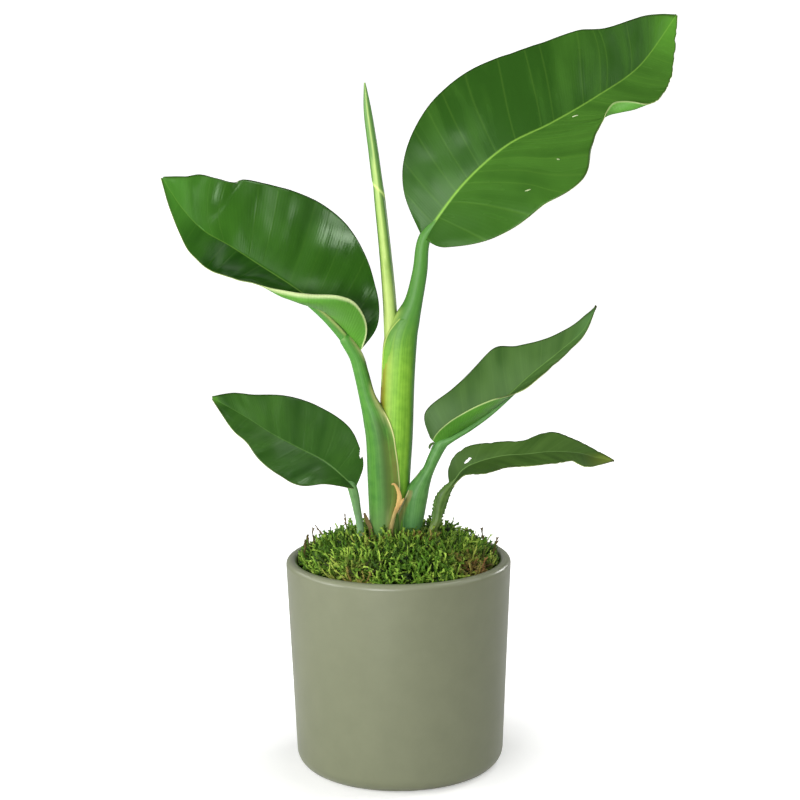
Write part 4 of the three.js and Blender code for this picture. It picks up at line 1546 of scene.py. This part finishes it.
MIDDLE_RIGHT = Leaf(
    name="middle_right",
    rib=((28, 0, 240), (55, -8, 257), (75, -12, 273), (95, -14, 292), (117, -14, 310), (133, -12, 324),
         (143, -8, 341)),
    face=((-0.45, -0.35, 0.8), (-0.45, -0.5, 0.75), (-0.4, -0.6, 0.7)),
    left=Half(
        margin=((-2, 6), (4, 24), (30, 30), (59, 35), (80, 36), (93, 24), (116, 13), (141, 7), (157, 0)),
        lift=((60, 50), (40, 20), (30, 10), (20, 10)),
    ),
    right=Half(
        margin=((1, 6), (12, 13), (32, 19), (55, 20), (74, 15), (90, 9), (104, 6), (118, 5), (136, 3),
                (156, 0)),
        lift=((70, 100), (50, 110), (30, 100), (-10, 50), (-20, 10), (0, 20)),
    ),
    lift_width=38,
    rib_half=(3, 2.6),
    stalk=((9.5, -1, 136, 5.5, 5.5), (10.4, -1, 174, 6.5, 7), (11.6, -1, 186.5, 7.5, 8),
           (13.9, -1, 203, 8.3, 8),
           (18.7, -1, 214, 5.8, 6), (22.4, -1, 221, 4.3, 4.8), (26.5, 0, 230, 4.4, 4.4),
           (32, 0, 240, 4.6, 4.2)),
    upper=WaxyBlade(name="waxy upper side of the middle leaf", deep="#315021", fresh="#4b6c31",
                    tip="#47703a", rib="#6f9548", rib_width=1.2, tip_from=0.8, dead_from=0.975,
                    roughness=0.4, gloss=0.35),
    skin=StalkSkin("stalk skin of the middle leaf", deep="#467a36", fresh="#5a8e46", pale="#c9bf92",
                   dry="#8a7544", foot="#47704a", foot_from=200, foot_to=168),
    rows=130,
    columns=24,
)

LOWER_RIGHT = Leaf(
    name="lower_right",
    rib=((39, -4, 209), (47, -8, 222), (59, -12, 229), (76, -16, 234), (93, -20, 236), (110, -22, 238),
         (129, -22, 237), (143, -20, 233), (156, -18, 230)),
    face=((-0.4, -0.6, 0.7), (-0.1, -0.6, 0.75), (0, -0.6, 0.8), (0.2, -0.6, 0.75)),
    left=Half(
        margin=((0, 2), (10, 9), (24, 14), (43, 12), (62, 11), (84, 16), (101, 10), (118, 5), (130, 1)),
        lift=((40, 30), (20, 10), (20, 10), (20, 0)),
        ragged=(0.1, 0.9, 0.7),
    ),
    right=Half(
        margin=((4, 8), (21, 14), (36, 21), (52, 17), (68, 15), (86, 15), (97, 11), (109, 15), (130, 0)),
        lift=((40, 40), (20, 20), (15, 10), (20, 10)),
        ragged=(0.1, 0.9, 0.9),
    ),
    lift_width=22,
    rib_half=(2, 1.8),
    stalk=((22, -6, 138, 2.8, 2.8), (24.6, -6, 174, 3.3, 3), (28.7, -5, 184.5, 2.9, 2.6),
           (30.2, -4, 194, 3.5, 2.6),
           (33.2, -4, 203, 3.9, 2.4), (38.7, -3, 210, 2.4, 2.2)),
    upper=WaxyBlade(name="waxy upper side of the lower right leaf", deep="#304a1d", fresh="#4d6c2e",
                    rib="#6f9050", rib_width=1.0, tip="#7d8f34", tip_from=0.85, dead_from=0.975,
                    roughness=0.42, gloss=0.2),
    skin=StalkSkin("stalk skin of the lower right leaf", deep="#3e5c22", fresh="#56762e", dry="#a8935a",
                   foot="#8c9a55", foot_from=190, foot_to=170),
    rows=130,
    columns=20,
    tears=(Tear(Side.LEFT, 22.2, 3.9, 7, 1.9, 19),),
)

LOWER_LEFT = Leaf(
    name="lower_left",
    rib=((-31, -14, 211), (-51, -20, 231), (-70, -26, 243), (-89, -32, 255), (-107, -36, 268),
         (-130, -38, 282)),
    face=((0.4, -0.7, 0.6), (0.2, -0.75, 0.6), (0.1, -0.75, 0.6)),
    left=Half(
        margin=((1, 2), (20, 16), (43, 29), (60, 29), (75, 25), (88, 18), (104, 14), (125, 1)),
        lift=((20, 20), (10, 5), (5, 0), (5, 0)),
    ),
    right=Half(
        margin=((0, 2), (6, 16), (18, 25), (33, 33), (56, 35), (81, 29), (101, 17), (114, 11), (126, 1)),
        lift=((35, 20), (20, 5), (15, 0), (10, 0)),
    ),
    lift_width=42,
    rib_half=(2.6, 2.2),
    stalk=((-26.5, -8, 138, 2.6, 2.6), (-27.2, -8, 174, 2.8, 2.8), (-28.1, -9, 184, 2.6, 2.6),
           (-29.8, -11, 194.5, 2.9, 2.8), (-31.4, -12.5, 204.6, 3.4, 3), (-34, -13, 213, 3.4, 2.6)),
    upper=WaxyBlade(name="waxy upper side of the lower left leaf", deep="#264a18", fresh="#406b26",
                    rib="#5f8a40", rib_width=1.1, tip_from=0.95, roughness=0.24, gloss=0.4),
    skin=StalkSkin("stalk skin of the lower left leaf", deep="#4f7a40", fresh="#648f52", dry="#a8935a",
                   foot="#7c9c74", foot_from=212, foot_to=176),
    rows=120,
    columns=24,
    tears=(Tear(Side.RIGHT, 13.0, 21.5, 8.0, 2.8, 60),),
)

OLD_PAPER = DryPaper(name="old dried leaf sheath", light="#a88f60", mid="#80673f", dark="#4f3a22",
                     damp="#6b5f3a")

PLANT = Plant(
    leaves=(UPPER_RIGHT, UPPER_LEFT, MIDDLE_RIGHT, LOWER_RIGHT, LOWER_LEFT),
    spike=RolledSpike(
        stations=((-4.6, 4, 170, 4.2, 4.2), (-3.5, 4, 247, 5.1, 5.1), (-2.8, 3.5, 284, 5.1, 5.1),
                  (-4, 3, 315, 5.2, 5.2), (-5, 3, 345, 5.1, 5.1), (-7.7, 2, 381, 4.6, 4.6),
                  (-11.1, 1, 417, 4.2, 4.2),
                  (-12.5, 1, 430, 4, 4), (-15.5, 0.5, 455, 3.7, 3.7), (-18.8, 0, 480, 3, 3),
                  (-20.8, 0, 500, 0.7, 0.7)),
        sides=44,
        steps=330,
        streaks=(
            Streak(Tint.PALE, 0.75, 0.2, 290, 345, 0.5, 30),
            # Painted highlight: a pale line just left of the front.
            Streak(Tint.PALE, 0.68, 0.05, 300, 440, 0.4),
            # Painted shade down both sides of the rolled leaf.
            Streak(Tint.DARK_BAND_AND_PAINTED_SHADE, 0.92, 0.1, 340, 510, 1.0),
            Streak(Tint.DARK_BAND_AND_PAINTED_SHADE, 0.54, 0.06, 340, 510, 1.0),
            # Painted highlight: a pale line down the front of the upper part.
            Streak(Tint.PALE, 0.74, 0.03, 380, 500, 0.55),
            *(Streak(Tint.PALE, 0.5 + 0.04 * i, 0.04, 431.2 - i, 431.6 - i, 0.5, 1.2) for i in range(13)),
        ),
    ),
    scraps=(
        DryScrap("petiole_wings", "leaf_lower_right",
                 ((24.6, -6.4, 176, 2.2, 1), (27.4, -6.0, 183, 3.2, 1), (29.4, -5.6, 191, 4.6, 1),
                  (31.6, -5.4, 199, 5.0, 1), (35.4, -5.2, 206, 3.8, 1), (40.0, -5.0, 211.5, 2.0, 1)),
                 cup=1.6, finish=StalkSkin("winged leaf stalk", deep="#38561f", fresh="#557a2e",
                                           foot_share=0.0),
                 ragged=1.3),
        DryScrap("dry_flap_front", "dry_sheath_front",
                 ((-7.5, -11.6, 150, 1.1, 0.7), (-5.4, -12.2, 178, 1.3, 0.7), (-2.8, -12.4, 190, 1.2, 0.7),
                  (0.6, -12.2, 198.4, 1.9, 0.7), (0.9, -12.6, 205.8, 1.4, 0.7),
                  (-1.8, -13.6, 212.5, 0.8, 0.7),
                  (-4.4, -13.9, 213.2, 0.5, 0.7)),
                 cup=0.5, finish=DryPaper()),
        DryScrap("dry_fork_front", "dry_sheath_front",
                 ((0.4, -12.0, 197.0, 0.9, 0.7), (2.6, -12.2, 199.4, 0.8, 0.7),
                  (4.2, -12.2, 202.4, 0.3, 0.7)),
                 cup=0.3, finish=DryPaper(), ragged=0.3),
        DryScrap("dry_flap_left", "dry_sheath_left",
                 ((-18.8, -12, 156, 1.3, 0.7), (-20, -9, 178, 1.3, 0.7), (-22.4, -7.5, 184.5, 1.5, 0.7),
                  (-24.6, -6.5, 190.5, 0.6, 0.7)),
                 cup=-0.6, finish=OLD_PAPER),
        DryScrap("dry_nub_middle", "leaf_middle_right",
                 ((26.5, -3, 241.5, 0.4, 0.5), (24.2, -4, 240.2, 0.9, 0.5), (23.2, -4.5, 238.4, 0.7, 0.5),
                  (23.4, -4.6, 237.2, 0.3, 0.5)),
                 cup=0.2, finish=StalkSkin("torn leaf base", deep="#33501e", fresh="#4d6a30",
                                           foot_share=0.0),
                 ragged=0.25),
    ),
    spike_skin=StalkSkin("skin of the rolled leaf", deep="#8aad4a", fresh="#a2c462", dark_band_and_painted_shade="#47752f",
                         upper="#5b8a46", upper_from=360, upper_to=460, pale="#d2e887", dry="#9c9a52",
                         foot="#8fb24e", foot_share=0.0, stripe=0.9),
)


@dataclass(frozen=True)
class Studio:
    """The plain pale floor, the soft lights and the camera."""

    camera_distance: float = 1.45
    camera_height: float = 0.534
    pitch: float = math.radians(10.22)
    yaw: float = math.radians(0.084)
    roll: float = math.radians(-0.5)
    lens: float = 91.575
    sensor: float = 36.0
    floor_size: float = 9.0
    sweep_from: float = 1.6
    sweep_radius: float = 1.0
    paper_glow: tuple[float, float] = (0.3, 0.8)
    glow_from: float = 0.085
    glow_to: float = 0.2
    world_glow: float = 0.04
    light_aim: tuple[float, float, float] = (0, 0, 0.3)
    light_distance: float = 1.6
    lights: tuple[tuple[str, float, float, float, float], ...] = (
        ("left_low", -70, 5, 0.5, 7.0), ("left", -70, 20, 0.5, 3.5), ("far_left", -90, 12, 0.5, 4.0),
        ("left_front", -45, 12, 0.5, 2.5), ("near_front", -23, 6, 0.5, 10.5), ("front", -10, 8, 0.5, 6.0),
        ("front_high", 0, 18, 0.5, 1.7), ("right_front", 28, 20, 0.5, 1.2), ("right", 90, 30, 0.5, 3.8),
        ("right_high", 90, 60, 0.35, 3.6), ("back", 118, 55, 0.35, 1.6), ("far_edge", 128, 8, 0.4, 6.0),
        ("left_edge", -120, 20, 0.5, 3.0), ("tip_glint", 15, 44, 0.2, 0.8),
                                                                  ("left_glint", -38, 30, 0.2, 2.0),
        ("low_glint", 55, 32, 0.2, 0.45), ("teal_glint", 61, 10, 0.2, 1.3))

    def camera(self) -> None:
        """Sets the camera at the photograph's angle."""
        data = bpy.data.cameras.new("camera")
        data.lens = self.lens
        data.sensor_width = self.sensor
        data.sensor_fit = "HORIZONTAL"
        data.clip_end = 50
        camera = put_in_scene("camera", data)
        turned = Matrix.Rotation(-self.yaw, 4, "Z") @ Matrix.Rotation(math.pi / 2 - self.pitch, 4, "X")
        place = Matrix.Translation((0, -self.camera_distance, self.camera_height))
        camera.matrix_world = place @ turned @ Matrix.Rotation(self.roll, 4, "Z")
        bpy.context.scene.camera = camera

    def sweep(self) -> None:
        """Lays the white paper sweep: a floor that curves up far behind the plant."""
        bm = bmesh.new()
        bmesh.ops.create_grid(bm, x_segments=1, y_segments=64, size=self.floor_size / 2)
        for vert in bm.verts:
            past = vert.co.y - self.sweep_from
            if past > 0:
                angle = min(past / self.sweep_radius, math.pi / 2)
                vert.co.y = self.sweep_from + self.sweep_radius * math.sin(angle)
                vert.co.z = self.sweep_radius * (1 - math.cos(angle)) + past - angle * self.sweep_radius
        for face in bm.faces:
            face.smooth = True
        mesh = to_mesh("paper_sweep", bm)
        material, shader = start_material("white backdrop paper", 0.9, 0.1)
        shader.inputs["Base Color"].default_value = linear("#f6f6f5")
        shader.inputs["Emission Color"].default_value = linear("#ffffff")
        tree = material.node_tree
        place = add_node(tree, "TexCoord", out="Object")
        # Painted light: the paper glows to the camera alone, dimmer near the pot, which paints shade round its foot.
        away = add_node(tree, "VectorMath", {0: place}, out="Value", operation="LENGTH")
        near, far = self.paper_glow
        glow = add_node(tree, "MapRange", {0: away, 1: self.glow_from, 2: self.glow_to, 3: near, 4: far})
        seen = add_node(tree, "LightPath", out="Is Camera Ray")
        shown = add_node(tree, "Math", {0: glow, 1: seen}, operation="MULTIPLY")
        tree.links.new(shown, shader.inputs["Emission Strength"])
        mesh.materials.append(material)
        put_in_scene("paper_sweep", mesh)

    def light(self, name: str, azimuth: float, elevation: float, size: float, power: float) -> None:
        """Adds one softbox that points at the plant.

        Args:
            name: Its name.
            azimuth: Degrees round from the front, to the right.
            elevation: Degrees up.
            size: Its edge length.
            power: Its power in watts.
        """
        data = bpy.data.lights.new(name, "AREA")
        data.shape = "SQUARE"
        data.size = size
        data.energy = power
        around, up = math.radians(azimuth), math.radians(elevation)
        away = Vector((math.sin(around) * math.cos(up), -math.cos(around) * math.cos(up), math.sin(up)))
        lamp = put_in_scene(name, data)
        lamp.location = Vector(self.light_aim) + away * self.light_distance
        lamp.rotation_euler = (-away).to_track_quat("-Z", "Y").to_euler()

    def build(self) -> None:
        """Sets up the whole studio."""
        self.camera()
        self.sweep()
        for light in self.lights:
            self.light(*light)
        world = bpy.data.worlds.new("studio")
        world.use_nodes = True
        world.node_tree.nodes["Background"].inputs[0].default_value = (1, 1, 1, 1)
        world.node_tree.nodes["Background"].inputs[1].default_value = self.world_glow
        bpy.context.scene.world = world
        bpy.context.scene.view_settings.view_transform = "Standard"


def main() -> None:
    """Builds the studio and the plant, and reports each piece."""
    logging.basicConfig(level=logging.INFO, format="%(message)s")
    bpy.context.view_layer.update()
    Studio().build()
    Pot().build(MatteGlaze())
    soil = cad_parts["soil"]
    soil.data.materials.clear()
    soil.data.materials.append(PottingSoil().material())
    PLANT.build()
    MossMat(stems=tuple(leaf.stalk_tube() for leaf in PLANT.leaves)).build()


if __name__ == "__main__":
    main()
